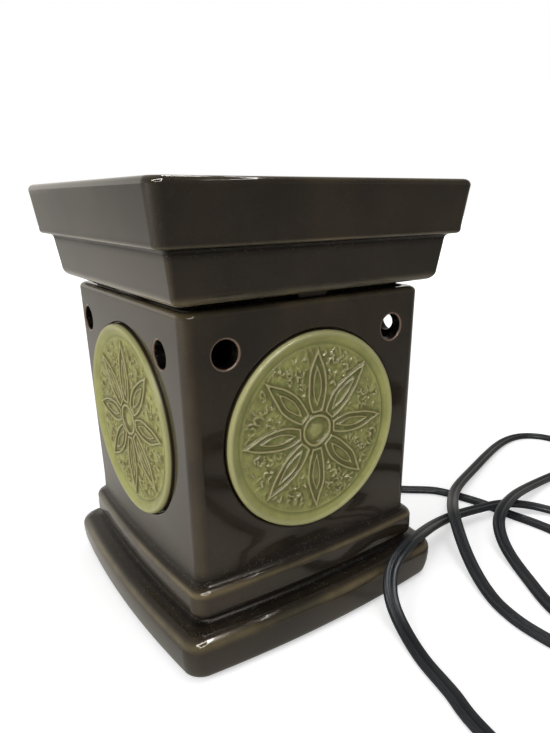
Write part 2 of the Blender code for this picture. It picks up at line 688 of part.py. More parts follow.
def build_dish():
    """The lift-off dish with its wax well, locating collar and four rest pads."""
    underside = DISH_BOTTOM
    collar_half = INNER_TOP_HALF - COLLAR_CLEARANCE
    collar_bottom = underside - COLLAR_DEPTH
    rim_inner = RIM_HALF - DISH_WALL
    outline = [(0.5 * (collar_half - COLLAR_WALL), underside + UNDERSIDE_DRAFT)]
    outline.append((collar_half - COLLAR_WALL, underside + UNDERSIDE_DRAFT))
    outline.append((collar_half - 0.8 * COLLAR_WALL, collar_bottom))
    outline.append((collar_half - 0.2 * COLLAR_WALL, collar_bottom))
    outline.append((collar_half, underside))
    outline.append((LOWER_TIER_BOTTOM_HALF - DISH_UNDER_ROUND, underside))
    outline += arc((LOWER_TIER_BOTTOM_HALF - DISH_UNDER_ROUND, LOWER_TIER_BOTTOM),
                   (DISH_UNDER_ROUND, DISH_UNDER_RISE - 2.0 * UNDERSIDE_DRAFT),
                   -DISH_UNDER_SWEEP_DEGREES, 0.0, 3)
    outline.append((LOWER_TIER_TOP_HALF, LOWER_TIER_TOP))
    step = UPPER_TIER_BOTTOM_HALF - LOWER_TIER_TOP_HALF
    outline.append((LOWER_TIER_TOP_HALF + 0.25 * step, LOWER_TIER_TOP + 0.55 * TIER_STEP_HEIGHT))
    outline.append((LOWER_TIER_TOP_HALF + 0.75 * step, LOWER_TIER_TOP + 0.7 * TIER_STEP_HEIGHT))
    outline.append((UPPER_TIER_BOTTOM_HALF, UPPER_TIER_BOTTOM + 0.4 * TIER_STEP_HEIGHT))
    outline += arc((RIM_HALF - RIM_ROUND, DISH_TOP - RIM_ROUND), (RIM_ROUND, RIM_ROUND), 0.0, 90.0, 3)
    outline += arc((rim_inner + 0.5 * RIM_ROUND, DISH_TOP - RIM_ROUND),
                   (0.5 * RIM_ROUND, RIM_ROUND), 90.0, 180.0, 3)
    outline.append((UPPER_TIER_BOTTOM_HALF - DISH_WALL, UPPER_TIER_BOTTOM + 0.6 * TIER_STEP_HEIGHT))
    outline.append((LOWER_TIER_TOP_HALF - DISH_WALL, LOWER_TIER_TOP - 0.2 * TIER_STEP_HEIGHT))
    well_floor = underside + DISH_FLOOR
    outline.append((LOWER_TIER_BOTTOM_HALF - DISH_WALL - DISH_UNDER_ROUND, well_floor + DISH_UNDER_ROUND))
    outline.append((WELL_FLOOR_HALF, well_floor + UNDERSIDE_DRAFT))
    outline.append((0.5 * WELL_FLOOR_HALF, well_floor))
    rings = []
    for half, z in outline:
        corner = max(MIN_CORNER, RIM_CORNER + 0.35 * (half - RIM_HALF))
        rings.append(rounded_square(half, corner, z, CORNER_STEPS))
    dish = add_object("wax_dish", loft("wax_dish", rings), BROWN_GLAZE)
    pad_half = 0.5 * (COLUMN_TOP_HALF - LIP_OUTER_ROUND + INNER_TOP_HALF + LIP_INNER_ROUND)
    pad_height = DISH_LIFT - SEAT_GAP + 0.2 * DISH_FLOOR
    pad_bottom = COLUMN_TOP + SEAT_GAP
    for face in FACES:
        middle = face_point(face, pad_half, pad_bottom + 0.5 * pad_height)
        pad = box("rest_pad_" + face, (PAD_LENGTH, PAD_WIDTH, pad_height), middle, None, CUTTERS)
        pad.rotation_euler = (0.0, 0.0, math.radians(90.0 * FACES.index(face)))
        combine(dish, mark_cutter(pad), "UNION")
    return dish


def build_base_plate():
    """The plastic plate that closes the base, with its two screw bosses."""
    half = REBATE_HALF - SEAT_GAP
    top = REBATE_TOP - SEAT_GAP
    rings = [rounded_square(half, corner_at(half), z, CORNER_STEPS) for z in (PLATE_BOTTOM, top)]
    plate = add_object("base_plate", loft("base_plate", rings), BLACK_PLASTIC)
    for side in (-1, 1):
        label = "left" if side < 0 else "right"
        x = side * SCREW_OFFSET
        boss_bottom = PLATE_BOTTOM + SEAT_GAP
        middle = 0.5 * (boss_bottom + SCREW_BOSS_TOP)
        boss = cylinder_cutter("boss_" + label, SCREW_BOSS_RADIUS, SCREW_BOSS_TOP - boss_bottom,
                               (x, 0.0, middle))
        combine(plate, boss, "UNION")
        cut(plate, cylinder_cutter("boss_hole_" + label, SCREW_RADIUS + SHAFT_GAP, SCREW_BOSS_TOP * 3.0,
                                   (x, 0.0, SCREW_BOSS_TOP)))
        cut(plate, cylinder_cutter("boss_counterbore_" + label, SCREW_HEAD_RADIUS + SEAT_GAP,
                                   2.0 * SCREW_SEAT, (x, 0.0, 0.0)))
    for side_x in (-1, 1):
        for side_y in (-1, 1):
            label = "%s_%s" % ("left" if side_x < 0 else "right", "front" if side_y < 0 else "back")
            spot = (side_x * FOOT_OFFSET, side_y * FOOT_OFFSET, PLATE_BOTTOM)
            cut(plate, cylinder_cutter("foot_hole_" + label, FOOT_STEM_RADIUS + SHAFT_GAP, 4.0 * top, spot))
    return plate


def build_feet():
    """Four push-in rubber feet."""
    disc_top = PLATE_BOTTOM - SEAT_GAP
    barb_bottom = REBATE_TOP
    barb_top = barb_bottom + FOOT_BARB_LENGTH
    profile = [(0.0, barb_top), (0.6 * FOOT_STEM_RADIUS, barb_top)]
    profile += [(FOOT_BARB_RADIUS, barb_bottom + FOOT_BARB_EDGE), (FOOT_BARB_RADIUS, barb_bottom)]
    profile += [(FOOT_STEM_RADIUS, barb_bottom), (FOOT_STEM_RADIUS, disc_top)]
    profile += [(FOOT_RADIUS, disc_top), (FOOT_RADIUS - FOOT_DRAFT, 0.0), (0.0, 0.0)]
    for side_x in (-1, 1):
        for side_y in (-1, 1):
            label = "%s_%s" % ("front" if side_y < 0 else "back", "left" if side_x < 0 else "right")
            foot = turned("foot_" + label, profile, BLACK_RUBBER, steps=SMALL_TURN_STEPS)
            foot.location = (side_x * FOOT_OFFSET, side_y * FOOT_OFFSET, 0.0)


def hex_nut(name, across, length, bore, centre, material):
    """A hexagon nut with its hole along Z."""
    shape = bmesh.new()
    reach = across / math.sqrt(3.0)
    bmesh.ops.create_cone(shape, cap_ends=True, segments=6, radius1=reach, radius2=reach, depth=length)
    nut = add_object(name, mesh_from_bmesh(name, shape), material)
    nut.location = centre
    cut(nut, cylinder_cutter(name + "_bore", bore, 3.0 * length, centre))
    return nut


BAR_BOTTOM = FLOOR_TOP + SEAT_GAP
BAR_TOP = BAR_BOTTOM + BAR_THICKNESS


def build_clamp():
    """The steel bar across the cast floor, and the screws and nuts that clamp it to the base plate."""
    middle = (0.0, 0.0, BAR_BOTTOM + 0.5 * BAR_THICKNESS)
    bar = box("clamp_bar", (BAR_LENGTH, BAR_WIDTH, BAR_THICKNESS), middle, STEEL)
    cut(bar, cylinder_cutter("bar_centre_hole", NIPPLE_RADIUS + SHAFT_GAP, 4.0 * BAR_THICKNESS, middle))
    head_top = SCREW_SEAT - SEAT_GAP
    profile = [(0.0, SCREW_TOP), (SCREW_RADIUS - SCREW_CHAMFER, SCREW_TOP)]
    profile += [(SCREW_RADIUS, SCREW_TOP - SCREW_CHAMFER)]
    profile += [(SCREW_RADIUS, head_top), (SCREW_HEAD_RADIUS, head_top)]
    profile += arc((SCREW_HEAD_RADIUS - SCREW_HEAD_ROUND, head_top - SCREW_HEAD_ROUND),
                   (SCREW_HEAD_ROUND, SCREW_HEAD_LENGTH - SCREW_HEAD_ROUND), 0.0, -90.0, 2)
    profile.append((0.0, head_top - SCREW_HEAD_LENGTH))
    for side in (-1, 1):
        label = "left" if side < 0 else "right"
        x = side * SCREW_OFFSET
        cut(bar, cylinder_cutter("bar_hole_" + label, SCREW_RADIUS + SHAFT_GAP, 4.0 * BAR_THICKNESS,
                                 (x, 0.0, middle[2])))
        screw = turned("clamp_screw_" + label, profile, STEEL, steps=SMALL_TURN_STEPS)
        screw.location = (x, 0.0, 0.0)
        nut_middle = BAR_TOP + SEAT_GAP + 0.5 * SCREW_NUT_LENGTH
        hex_nut("clamp_nut_" + label, SCREW_NUT_ACROSS, SCREW_NUT_LENGTH, SCREW_RADIUS + SHAFT_GAP,
                (x, 0.0, nut_middle), STEEL)


def ring_profile(outer, inner, bottom, top):
    """The four corners of a plain ring's section."""
    return [(outer, top), (outer, bottom), (inner, bottom), (inner, top)]


SOCKET_BOTTOM = BAR_TOP + SEAT_GAP
DISC_BOTTOM = DISC_SEAT + SEAT_GAP
DISC_TOP = DISC_BOTTOM + DISC_THICKNESS
RIVET_TOP = DISC_TOP + SEAT_GAP + RIVET_HEAD_LENGTH


def build_socket():
    """The small screw lamp socket on its hollow threaded nipple."""
    edge = SOCKET_RADIUS - SOCKET_CHAMFER
    profile = [(edge, SOCKET_TOP), (SOCKET_RADIUS, SOCKET_TOP - SOCKET_CHAMFER)]
    profile += [(SOCKET_RADIUS, SOCKET_BOTTOM + SOCKET_CHAMFER), (edge, SOCKET_BOTTOM)]
    nipple_hole = NIPPLE_RADIUS + SHAFT_GAP
    profile += [(nipple_hole, SOCKET_BOTTOM), (nipple_hole, CHAMBER_BOTTOM)]
    profile += [(CHAMBER_RADIUS, CHAMBER_BOTTOM), (CHAMBER_RADIUS, DISC_SEAT)]
    profile += [(SOCKET_BORE, DISC_SEAT), (SOCKET_BORE, SOCKET_TOP)]
    turned("socket_body", profile, PHENOLIC)

    turned("socket_nipple", ring_profile(NIPPLE_RADIUS, NIPPLE_BORE, NIPPLE_BOTTOM, NIPPLE_TOP), STEEL,
           steps=SMALL_TURN_STEPS)
    washer_top = BAR_BOTTOM - SEAT_GAP
    washer_bottom = washer_top - LOCK_WASHER_THICKNESS
    turned("socket_washer", ring_profile(LOCK_WASHER_RADIUS, nipple_hole, washer_bottom, washer_top), STEEL,
           steps=SMALL_TURN_STEPS)
    nut_middle = washer_bottom - SEAT_GAP - 0.5 * NIPPLE_NUT_LENGTH
    hex_nut("socket_nut", NIPPLE_NUT_ACROSS, NIPPLE_NUT_LENGTH, nipple_hole, (0.0, 0.0, nut_middle), STEEL)

    disc = turned("socket_insulator", ring_profile(SOCKET_BORE - SEAT_GAP, RIVET_RADIUS + SHAFT_GAP,
                                                   DISC_BOTTOM, DISC_TOP), FIBRE)
    cut(disc, cylinder_cutter("lead_notch", LEAD_RADIUS + SHAFT_GAP, 4.0 * DISC_THICKNESS,
                              (-NEUTRAL_OFFSET, 0.0, DISC_BOTTOM)))

    swage_top = DISC_BOTTOM - SEAT_GAP
    head_bottom = DISC_TOP + SEAT_GAP
    rivet = [(0.0, RIVET_TOP), (0.9 * RIVET_HEAD_RADIUS, RIVET_TOP), (RIVET_HEAD_RADIUS, head_bottom)]
    rivet += [(RIVET_RADIUS, head_bottom), (RIVET_RADIUS, swage_top), (RIVET_SWAGE_RADIUS, swage_top)]
    rivet += [(RIVET_SWAGE_RADIUS, swage_top - RIVET_SWAGE_LENGTH), (0.0, swage_top - RIVET_SWAGE_LENGTH)]
    turned("socket_contact", rivet, BRASS, steps=SMALL_TURN_STEPS)

    turned("socket_screw_shell", ring_profile(SHELL_OUTER, SHELL_OUTER - SHELL_WALL, DISC_TOP + SEAT_GAP,
                                              SOCKET_TOP - SHELL_SETBACK), BRASS)


TIP_BOTTOM = RIVET_TOP + SEAT_GAP
CONE_BOTTOM = TIP_BOTTOM + BULB_TIP_LENGTH + SEAT_GAP
BASE_SHELL_BOTTOM = CONE_BOTTOM + BULB_CONE_LENGTH + SEAT_GAP
BASE_SHELL_TOP = BASE_SHELL_BOTTOM + BULB_BASE_LENGTH


def build_bulb():
    """The small globe bulb: tip, insulator, screw base, glass, stem and filament."""
    empty = bpy.data.objects.new("bulb_axis", None)
    PARTS.objects.link(empty)
    empty.location = (0.0, 0.0, TIP_BOTTOM)
    pieces = []

    def seated(height):
        return height - TIP_BOTTOM

    tip = [(0.0, BULB_TIP_LENGTH), (BULB_TIP_RADIUS, BULB_TIP_LENGTH)]
    tip += [(BULB_TIP_RADIUS, 0.4 * BULB_TIP_LENGTH), (0.5 * BULB_TIP_RADIUS, 0.0), (0.0, 0.0)]
    pieces.append(turned("bulb_tip_contact", tip, BRASS, steps=SMALL_TURN_STEPS))

    cone_top = CONE_BOTTOM + BULB_CONE_LENGTH
    cone = [(0.0, seated(cone_top)), (BULB_BASE_RADIUS - BULB_THREAD_DEPTH, seated(cone_top))]
    cone += [(1.2 * BULB_TIP_RADIUS, seated(CONE_BOTTOM)), (0.0, seated(CONE_BOTTOM))]
    pieces.append(turned("bulb_insulator", cone, BLACK_GLASS, steps=SMALL_TURN_STEPS))

    thread_pitch = BULB_BASE_LENGTH / (BULB_THREAD_TURNS + 1)
    shell = [(BULB_BASE_RADIUS, seated(BASE_SHELL_TOP))]
    for turn in range(BULB_THREAD_TURNS, 0, -1):
        crest = BASE_SHELL_BOTTOM + turn * thread_pitch
        shell.append((BULB_BASE_RADIUS, seated(crest + 0.25 * thread_pitch)))
        shell.append((BULB_BASE_RADIUS - BULB_THREAD_DEPTH, seated(crest - 0.25 * thread_pitch)))
    inside = BULB_BASE_RADIUS - BULB_THREAD_DEPTH - BULB_BASE_WALL
    shell.append((BULB_BASE_RADIUS - BULB_THREAD_DEPTH, seated(BASE_SHELL_BOTTOM)))
    shell.append((inside, seated(BASE_SHELL_BOTTOM)))
    neck_seat = NECK_BOTTOM - SEAT_GAP
    wide_inside = NECK_RADIUS + SEAT_GAP
    shell += [(inside, seated(neck_seat)), (wide_inside, seated(neck_seat))]
    shell.append((wide_inside, seated(BASE_SHELL_TOP)))
    pieces.append(turned("bulb_screw_base", shell, BRASS))

    globe_middle = GLOBE_TOP - GLOBE_RADIUS
    shoulder = -68.0
    outer = arc((0.0, seated(globe_middle)), (GLOBE_RADIUS, GLOBE_RADIUS), 90.0, shoulder, 10)
    outer[0] = (0.0, seated(GLOBE_TOP))
    flare = BASE_SHELL_TOP + 0.6 * (outer[-1][1] - seated(BASE_SHELL_TOP))
    outer.append((NECK_RADIUS + 0.22 * (outer[-1][0] - NECK_RADIUS), seated(flare)))
    outer += [(NECK_RADIUS, seated(BASE_SHELL_TOP) + NECK_CLEAR), (NECK_RADIUS, seated(NECK_BOTTOM))]
    inner_radius = GLOBE_RADIUS - GLASS_WALL
    inner = arc((0.0, seated(globe_middle)), (inner_radius, inner_radius), shoulder, 90.0, 10)
    inner[-1] = (0.0, seated(GLOBE_TOP) - GLASS_WALL)
    inner.insert(0, (outer[-3][0] - GLASS_WALL, outer[-3][1]))
    inner.insert(0, (NECK_RADIUS - GLASS_WALL, outer[-2][1]))
    inner.insert(0, (NECK_RADIUS - GLASS_WALL, seated(NECK_BOTTOM)))
    pieces.append(turned("bulb_glass", outer + inner, GLASS))

    stem_top = seated(STEM_BOTTOM) + STEM_LENGTH
    stem_base = seated(STEM_BOTTOM)
    stem_foot = NECK_RADIUS - GLASS_WALL - SEAT_GAP
    stem = [(0.0, stem_top), (STEM_BUTTON_RADIUS, stem_top - 0.05 * STEM_LENGTH)]
    stem += [(STEM_RADIUS, stem_top - 0.15 * STEM_LENGTH), (STEM_RADIUS, stem_base + 0.3 * STEM_LENGTH)]
    stem += [(stem_foot, stem_base + 0.07 * STEM_LENGTH), (stem_foot, stem_base), (0.0, stem_base)]
    pieces.append(turned("bulb_stem", stem, GLASS, steps=SMALL_TURN_STEPS))

    wire_start = stem_base + 0.36 * STEM_LENGTH
    wire_end = seated(FILAMENT_HEIGHT)
    for side in (-1, 1):
        name = "bulb_lead_wire_" + ("left" if side < 0 else "right")
        close_by = STEM_RADIUS + SEAT_GAP + LEAD_WIRE_RADIUS
        line = [(side * close_by, 0.0, wire_start)]
        line.append((side * (close_by + 2.0 * SEAT_GAP), 0.0, wire_start + 0.25 * STEM_LENGTH))
        line.append((side * FILAMENT_HALF_SPAN, 0.0, wire_end - 0.1 * STEM_LENGTH))
        line.append((side * FILAMENT_HALF_SPAN, 0.0, wire_end))
        pieces.append(tube(name, line, LEAD_WIRE_RADIUS, TUNGSTEN, level=1))
    reach = FILAMENT_HALF_SPAN
    hang = wire_end + SEAT_GAP + FILAMENT_RADIUS
    bow = [(reach * math.cos(angle), 0.35 * reach * math.sin(angle), hang)
           for angle in np.linspace(0.0, math.pi, 9)]
    pieces.append(tube("bulb_filament", bow, FILAMENT_RADIUS, TUNGSTEN, level=1))
    for piece in pieces:
        piece.parent = empty


def build_strain_relief():
    """The rubber bush that holds the cord in the back wall of the plinth."""
    flange_seat = PLINTH_HALF + PLINTH_BOW + SEAT_GAP
    wall_inside = RECESS_HALF - SEAT_GAP
    flange_top = flange_seat + BUSH_FLANGE_THICKNESS
    nose_end = flange_seat + BUSH_NOSE_LENGTH
    inner_end = wall_inside - BUSH_FLANGE_THICKNESS
    profile = [(BUSH_TIP_RADIUS, nose_end), (BUSH_ROOT_RADIUS, flange_top)]
    profile += [(BUSH_FLANGE_RADIUS, flange_top), (BUSH_FLANGE_RADIUS, flange_seat)]
    profile += [(OUTLET_RADIUS, flange_seat), (OUTLET_RADIUS, wall_inside)]
    profile += [(OUTLET_RADIUS + BUSH_LOCK_LIP, wall_inside), (OUTLET_RADIUS, inner_end)]
    profile += [(BUSH_BORE, inner_end), (BUSH_BORE, nose_end)]
    bush = turned("strain_relief", profile, BLACK_RUBBER, steps=SMALL_TURN_STEPS)
    bush.location = (0.0, 0.0, OUTLET_HEIGHT)
    bush.rotation_euler = (math.radians(-90.0), 0.0, 0.0)
    return nose_end


def build_inner_leads(nose_end):
    """The two insulated leads from the cord to the socket's rivet and screw shell."""
    start = nose_end - LEAD_RADIUS
    rise = CHAMBER_BOTTOM + 1.5 * LEAD_RADIUS
    live_end = DISC_BOTTOM - SEAT_GAP - RIVET_SWAGE_LENGTH - SEAT_GAP
    neutral_end = DISC_TOP + SEAT_GAP + 0.6 * LEAD_RADIUS
    sag = SCREW_BOSS_TOP
    shared = [(start, OUTLET_HEIGHT), (RECESS_HALF, OUTLET_HEIGHT), (0.5 * RECESS_HALF, sag)]
    shared.append((0.15 * RECESS_HALF, sag))
    shared.append((0.4 * NIPPLE_BORE, 0.3 * sag + 0.7 * NIPPLE_BOTTOM - LEAD_RADIUS))
    shared += [(0.0, NIPPLE_BOTTOM), (0.0, NIPPLE_TOP)]
    live = [(LEAD_SPACING, y, z) for y, z in shared]
    live += [(LEAD_SPACING, 0.0, rise), (LEAD_SPACING, 0.0, live_end)]
    neutral = [(-LEAD_SPACING, y, z) for y, z in shared]
    neutral += [(-NEUTRAL_OFFSET, 0.0, rise + 2.0 * LEAD_RADIUS), (-NEUTRAL_OFFSET, 0.0, neutral_end)]
    tube("lead_live", live, LEAD_RADIUS, LEAD_BLACK, level=1)
    tube("lead_neutral", neutral, LEAD_RADIUS, LEAD_WHITE, level=1)


def coil_line():
    """The points of the coil: two layers, spiralling in on the lower and out again on the upper."""
    count = round(COIL_TURNS * COIL_POINTS_PER_LOOP)
    half_turns = 0.5 * COIL_TURNS
    points = []
    for step in range(count + 1):
        turn = COIL_TURNS * step / count
        angle = math.pi + 2.0 * math.pi * turn
        inward = turn if turn < half_turns else COIL_TURNS - turn
        radius = COIL_RADIUS - COIL_PITCH * inward
        climb = min(1.0, max(0.0, (turn - half_turns + 0.25) / 0.5))
        x = COIL_CENTRE_X + radius * math.cos(angle)
        y = COIL_CENTRE_Y + radius * math.sin(angle)
        points.append(Vector((x, y, CORD_RADIUS + COIL_LAYER * climb)))
    straight = 2.0 * CORD_RADIUS
    points.insert(0, points[0] + Vector((0.0, straight, 0.0)))
    points.append(points[-1] + Vector((straight, 0.0, 0.0)))
    return points


def least_gap(points, radius, skip):
    """The least clear distance between stretches of a line that are not neighbours."""
    spots = np.array([tuple(point) for point in points])
    dense = []
    for first, second in zip(spots, spots[1:]):
        dense += [first + (second - first) * share for share in (0.0, 0.25, 0.5, 0.75)]
    dense = np.array(dense)
    distance = np.linalg.norm(dense[:, None] - dense[None], axis=2)
    index = np.arange(len(dense))
    distance[np.abs(index[:, None] - index[None]) < 4 * skip] = 1.0
    return distance.min() - 2.0 * radius


def build_cord(nose_end):
    """The cord from the bush to the plug, with its coil and its switch in the line."""
    coil = coil_line()
    coil_start = coil[0]
    coil_end = coil[-1]
    straight = 2.0 * CORD_RADIUS
    knots = [(0.0, nose_end + SEAT_GAP, OUTLET_HEIGHT)]
    knots.append((0.0, nose_end + SEAT_GAP + straight, OUTLET_HEIGHT))
    knots += [tuple(value * MM for value in point) for point in CORD_ROUTE_MM]
    knots.append((coil_start.x, coil_start.y + SEAT_GAP + straight, coil_start.z))
    knots.append((coil_start.x, coil_start.y + SEAT_GAP, coil_start.z))
    run = smooth_line(knots, CORD_POINTS)
    run[:, 2] = np.maximum(run[:, 2], CORD_RADIUS)
    tube("cord_run", run, CORD_RADIUS, CORD_JACKET)
    tube("cord_coil", coil, CORD_RADIUS, CORD_JACKET, level=1)
    print("least gap of the coil to itself, mm: %.2f" % (least_gap(coil, CORD_RADIUS, 6) / MM))
    print("least gap of the run to itself, mm: %.2f" % (least_gap(run, CORD_RADIUS, 3) / MM))

    switch_height = SWITCH_HALF_HEIGHT + 0.5 * SEAT_GAP
    line_y = coil_end.y
    first = (coil_end.x + SEAT_GAP, line_y, coil_end.z)
    last = (SWITCH_START - SEAT_GAP, line_y, switch_height)
    bend = [first, (first[0] + straight, line_y, first[2]), (last[0] - straight, line_y, last[2]), last]
    tube("cord_to_switch", smooth_line(bend, 7), CORD_RADIUS, CORD_JACKET)

    begin = (SWITCH_START + SWITCH_LENGTH + SEAT_GAP, line_y, switch_height)
    end = (PLUG_START - SEAT_GAP, PLUG_LINE_Y, PLUG_HALF_HEIGHT)
    lead = [begin, (begin[0] + straight, begin[1], begin[2])]
    lead += [tuple(value * MM for value in point) for point in PLUG_LEAD_ROUTE_MM]
    lead += [(end[0] - straight, end[1], end[2]), end]
    tube("cord_to_plug", smooth_line(lead, 14), CORD_RADIUS, CORD_JACKET)
    return line_y


def rounded_box(name, length, width, bottom, top, material, edge_low, edge_high):
    """A box with round upright corners and softened lower or upper edges."""
    levels = [(edge_low, bottom)] if edge_low else []
    levels.append((0.0, bottom + edge_low))
    levels.append((0.0, top - edge_high))
    if edge_high:
        levels.append((edge_high, top))
    rings = []
    for inset, z in levels:
        corner = SWITCH_CORNER - 0.5 * inset
        rings.append(rounded_square(0.5 * length - inset, corner, z, 3, 0.5 * width - inset))
    return add_object(name, loft(name, rings), material)


def build_switch(line_y):
    """The switch in the cord: two half shells, a ribbed wheel on its pin, contacts and screws."""
    middle_x = SWITCH_START + 0.5 * SWITCH_LENGTH
    place = Vector((middle_x, line_y, 0.0))
    split = SWITCH_HALF_HEIGHT
    lower = rounded_box("switch_lower_shell", SWITCH_LENGTH, SWITCH_WIDTH, 0.0, split,
                        BLACK_PLASTIC, SWITCH_EDGE, 0.0)
    upper = rounded_box("switch_upper_shell", SWITCH_LENGTH, SWITCH_WIDTH, split + SEAT_GAP,
                        2.0 * split + SEAT_GAP, BLACK_PLASTIC, 0.0, SWITCH_EDGE)
    mid_height = split + 0.5 * SEAT_GAP
    room = WHEEL_THICKNESS + 2.0 * SEAT_GAP
    wheel_place = place + Vector((0.0, WHEEL_OFFSET, mid_height))
    cavity_width = SWITCH_WIDTH - 2.0 * SWITCH_WALL
    cavity = box_cutter("switch_cavity", (SWITCH_CAVITY_LENGTH, cavity_width, room),
                        place + Vector((0.0, 0.0, mid_height)))
    wheel_room = cylinder_cutter("switch_wheel_room", WHEEL_RADIUS + 2.0 * SEAT_GAP, room, wheel_place,
                                 steps=TURN_STEPS)
    pin_room = cylinder_cutter("switch_pin_room", WHEEL_PIN_RADIUS + SHAFT_GAP,
                               WHEEL_PIN_LENGTH + 2.0 * SEAT_GAP, wheel_place)
    for shell in (lower, upper):
        shell.location = place
        cut(shell, cavity)
        cut(shell, wheel_room)
        cut(shell, pin_room)

    rim = []
    for step in range(2 * WHEEL_RIBS):
        angle = math.pi * step / WHEEL_RIBS
        radius = WHEEL_RADIUS - (WHEEL_RIB_DEPTH if step % 2 else 0.0)
        rim.append(Vector((radius * math.cos(angle), radius * math.sin(angle), 0.0)))
    lift = Vector((0.0, 0.0, 0.5 * WHEEL_THICKNESS))
    rings = [[point - lift for point in rim], [point + lift for point in rim]]
    wheel = add_object("switch_wheel", loft("switch_wheel", rings), BLACK_RUBBER)
    wheel.location = wheel_place
    cut(wheel, cylinder_cutter("wheel_bore", WHEEL_PIN_RADIUS + SHAFT_GAP, 3.0 * WHEEL_THICKNESS,
                               wheel_place))
    half_pin = 0.5 * WHEEL_PIN_LENGTH
    profile = [(0.0, half_pin), (WHEEL_PIN_RADIUS, half_pin)]
    profile += [(WHEEL_PIN_RADIUS, -half_pin), (0.0, -half_pin)]
    pin = turned("switch_pin", profile, STEEL, steps=SMALL_TURN_STEPS)
    pin.location = wheel_place

    for side in (-1, 1):
        label = "in" if side < 0 else "out"
        spot = place + Vector((side * CONTACT_OFFSET, 0.0, mid_height))
        box("switch_contact_" + label, (CONTACT_THICKNESS, CONTACT_LENGTH, CONTACT_HEIGHT), spot, BRASS)
        x = place.x + side * SWITCH_SCREW_X
        y = place.y - SWITCH_SCREW_Y
        hole = cylinder_cutter("switch_screw_hole_" + label, SWITCH_SCREW_RADIUS + SHAFT_GAP,
                               2.0 * (SWITCH_SCREW_TOP + SEAT_GAP), (x, y, 0.0))
        sink = cylinder_cutter("switch_screw_sink_" + label, SWITCH_SCREW_HEAD + SEAT_GAP,
                               2.0 * SWITCH_SCREW_SEAT, (x, y, 0.0))
        for shell in (lower, upper):
            cut(shell, hole)
        cut(lower, sink)
        head_top = SWITCH_SCREW_SEAT - SEAT_GAP
        head_bottom = head_top - SWITCH_SCREW_HEAD_LENGTH
        profile = [(0.0, SWITCH_SCREW_TOP), (SWITCH_SCREW_RADIUS, SWITCH_SCREW_TOP - SWITCH_SCREW_RADIUS)]
        profile += [(SWITCH_SCREW_RADIUS, head_top), (SWITCH_SCREW_HEAD, head_top)]
        profile.append((SWITCH_SCREW_HEAD, 0.5 * (head_top + head_bottom)))
        profile += [(0.6 * SWITCH_SCREW_HEAD, head_bottom), (0.0, head_bottom)]
        screw = turned("switch_screw_" + label, profile, STEEL, steps=SMALL_TURN_STEPS)
        screw.location = (x, y, 0.0)


def build_plug():
    """The two-blade plug with one wide blade."""
    centre = Vector((PLUG_START, PLUG_LINE_Y, PLUG_HALF_HEIGHT))
    stations = ((0.0, 0.36, 0.50), (0.30, 0.42, 0.56), (0.40, 0.74, 0.78), (0.62, 0.92, 0.94),
                (0.92, 1.0, 1.0), (1.0, 0.94, 0.92))
    turn = Matrix.Rotation(math.radians(90.0), 4, "Y") @ Matrix.Rotation(math.radians(90.0), 4, "Z")
    rings = []
    for along, wide, high in stations:
        half_width = wide * PLUG_HALF_WIDTH
        half_height = high * PLUG_HALF_HEIGHT
        ring = rounded_square(half_width, 0.45 * half_height, along * PLUG_LENGTH, 3, half_height)
        rings.append([turn @ point for point in ring])
    plug = add_object("plug_body", loft("plug_body", rings), BLACK_PLASTIC)
    plug.location = centre
    face_x = PLUG_START + PLUG_LENGTH
    for side, width, name in ((-1, NARROW_BLADE, "plug_blade_narrow"), (1, WIDE_BLADE, "plug_blade_wide")):
        y = PLUG_LINE_Y + side * 0.5 * BLADE_SPACING
        room = 2.0 * SEAT_GAP
        slot = (2.0 * BLADE_ROOT + room, BLADE_THICKNESS + room, width + room)
        cut(plug, box_cutter(name + "_slot", slot, (face_x, y, PLUG_HALF_HEIGHT)))
        length = BLADE_LENGTH + BLADE_ROOT
        blade_middle = (face_x - BLADE_ROOT + 0.5 * length, y, PLUG_HALF_HEIGHT)
        box(name, (length, BLADE_THICKNESS, width), blade_middle, BRASS, bevel=BLADE_BEVEL)


def main():
    """Build the whole warmer."""
    build_body()
    build_medallions()
    build_dish()
    build_base_plate()
    build_feet()
    build_clamp()
    build_socket()
    build_bulb()
    nose_end = build_strain_relief()
    build_inner_leads(nose_end)
    line_y = build_cord(nose_end)
    build_switch(line_y)
    build_plug()


main()
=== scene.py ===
import math
from functools import partial

import bmesh
import bpy
import numpy as np
from bpy.props import FloatProperty, FloatVectorProperty, IntProperty, PointerProperty
from mathutils import Matrix, Vector, noise as solid_noise


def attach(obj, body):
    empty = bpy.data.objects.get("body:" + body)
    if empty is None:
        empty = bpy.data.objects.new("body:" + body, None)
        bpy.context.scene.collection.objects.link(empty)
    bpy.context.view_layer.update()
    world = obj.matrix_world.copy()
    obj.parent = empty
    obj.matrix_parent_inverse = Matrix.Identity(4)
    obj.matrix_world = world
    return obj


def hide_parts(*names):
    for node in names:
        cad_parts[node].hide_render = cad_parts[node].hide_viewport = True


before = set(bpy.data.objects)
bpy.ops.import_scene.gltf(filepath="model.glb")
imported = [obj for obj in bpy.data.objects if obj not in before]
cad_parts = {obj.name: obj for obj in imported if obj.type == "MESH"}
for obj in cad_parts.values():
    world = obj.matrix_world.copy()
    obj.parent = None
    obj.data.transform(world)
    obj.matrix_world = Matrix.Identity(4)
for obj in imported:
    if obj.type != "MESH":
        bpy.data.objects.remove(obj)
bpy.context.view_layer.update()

bl_info = {
    "name": "Electric wax warmer",
    "version": (1, 0, 0),
    "blender": (4, 5, 0),
    "location": "View3D > Sidebar > Warmer",
    "description": "Glazed body, dish, medallions, lamp, cord, switch and plug of a wax warmer",
    "category": "Object",
}

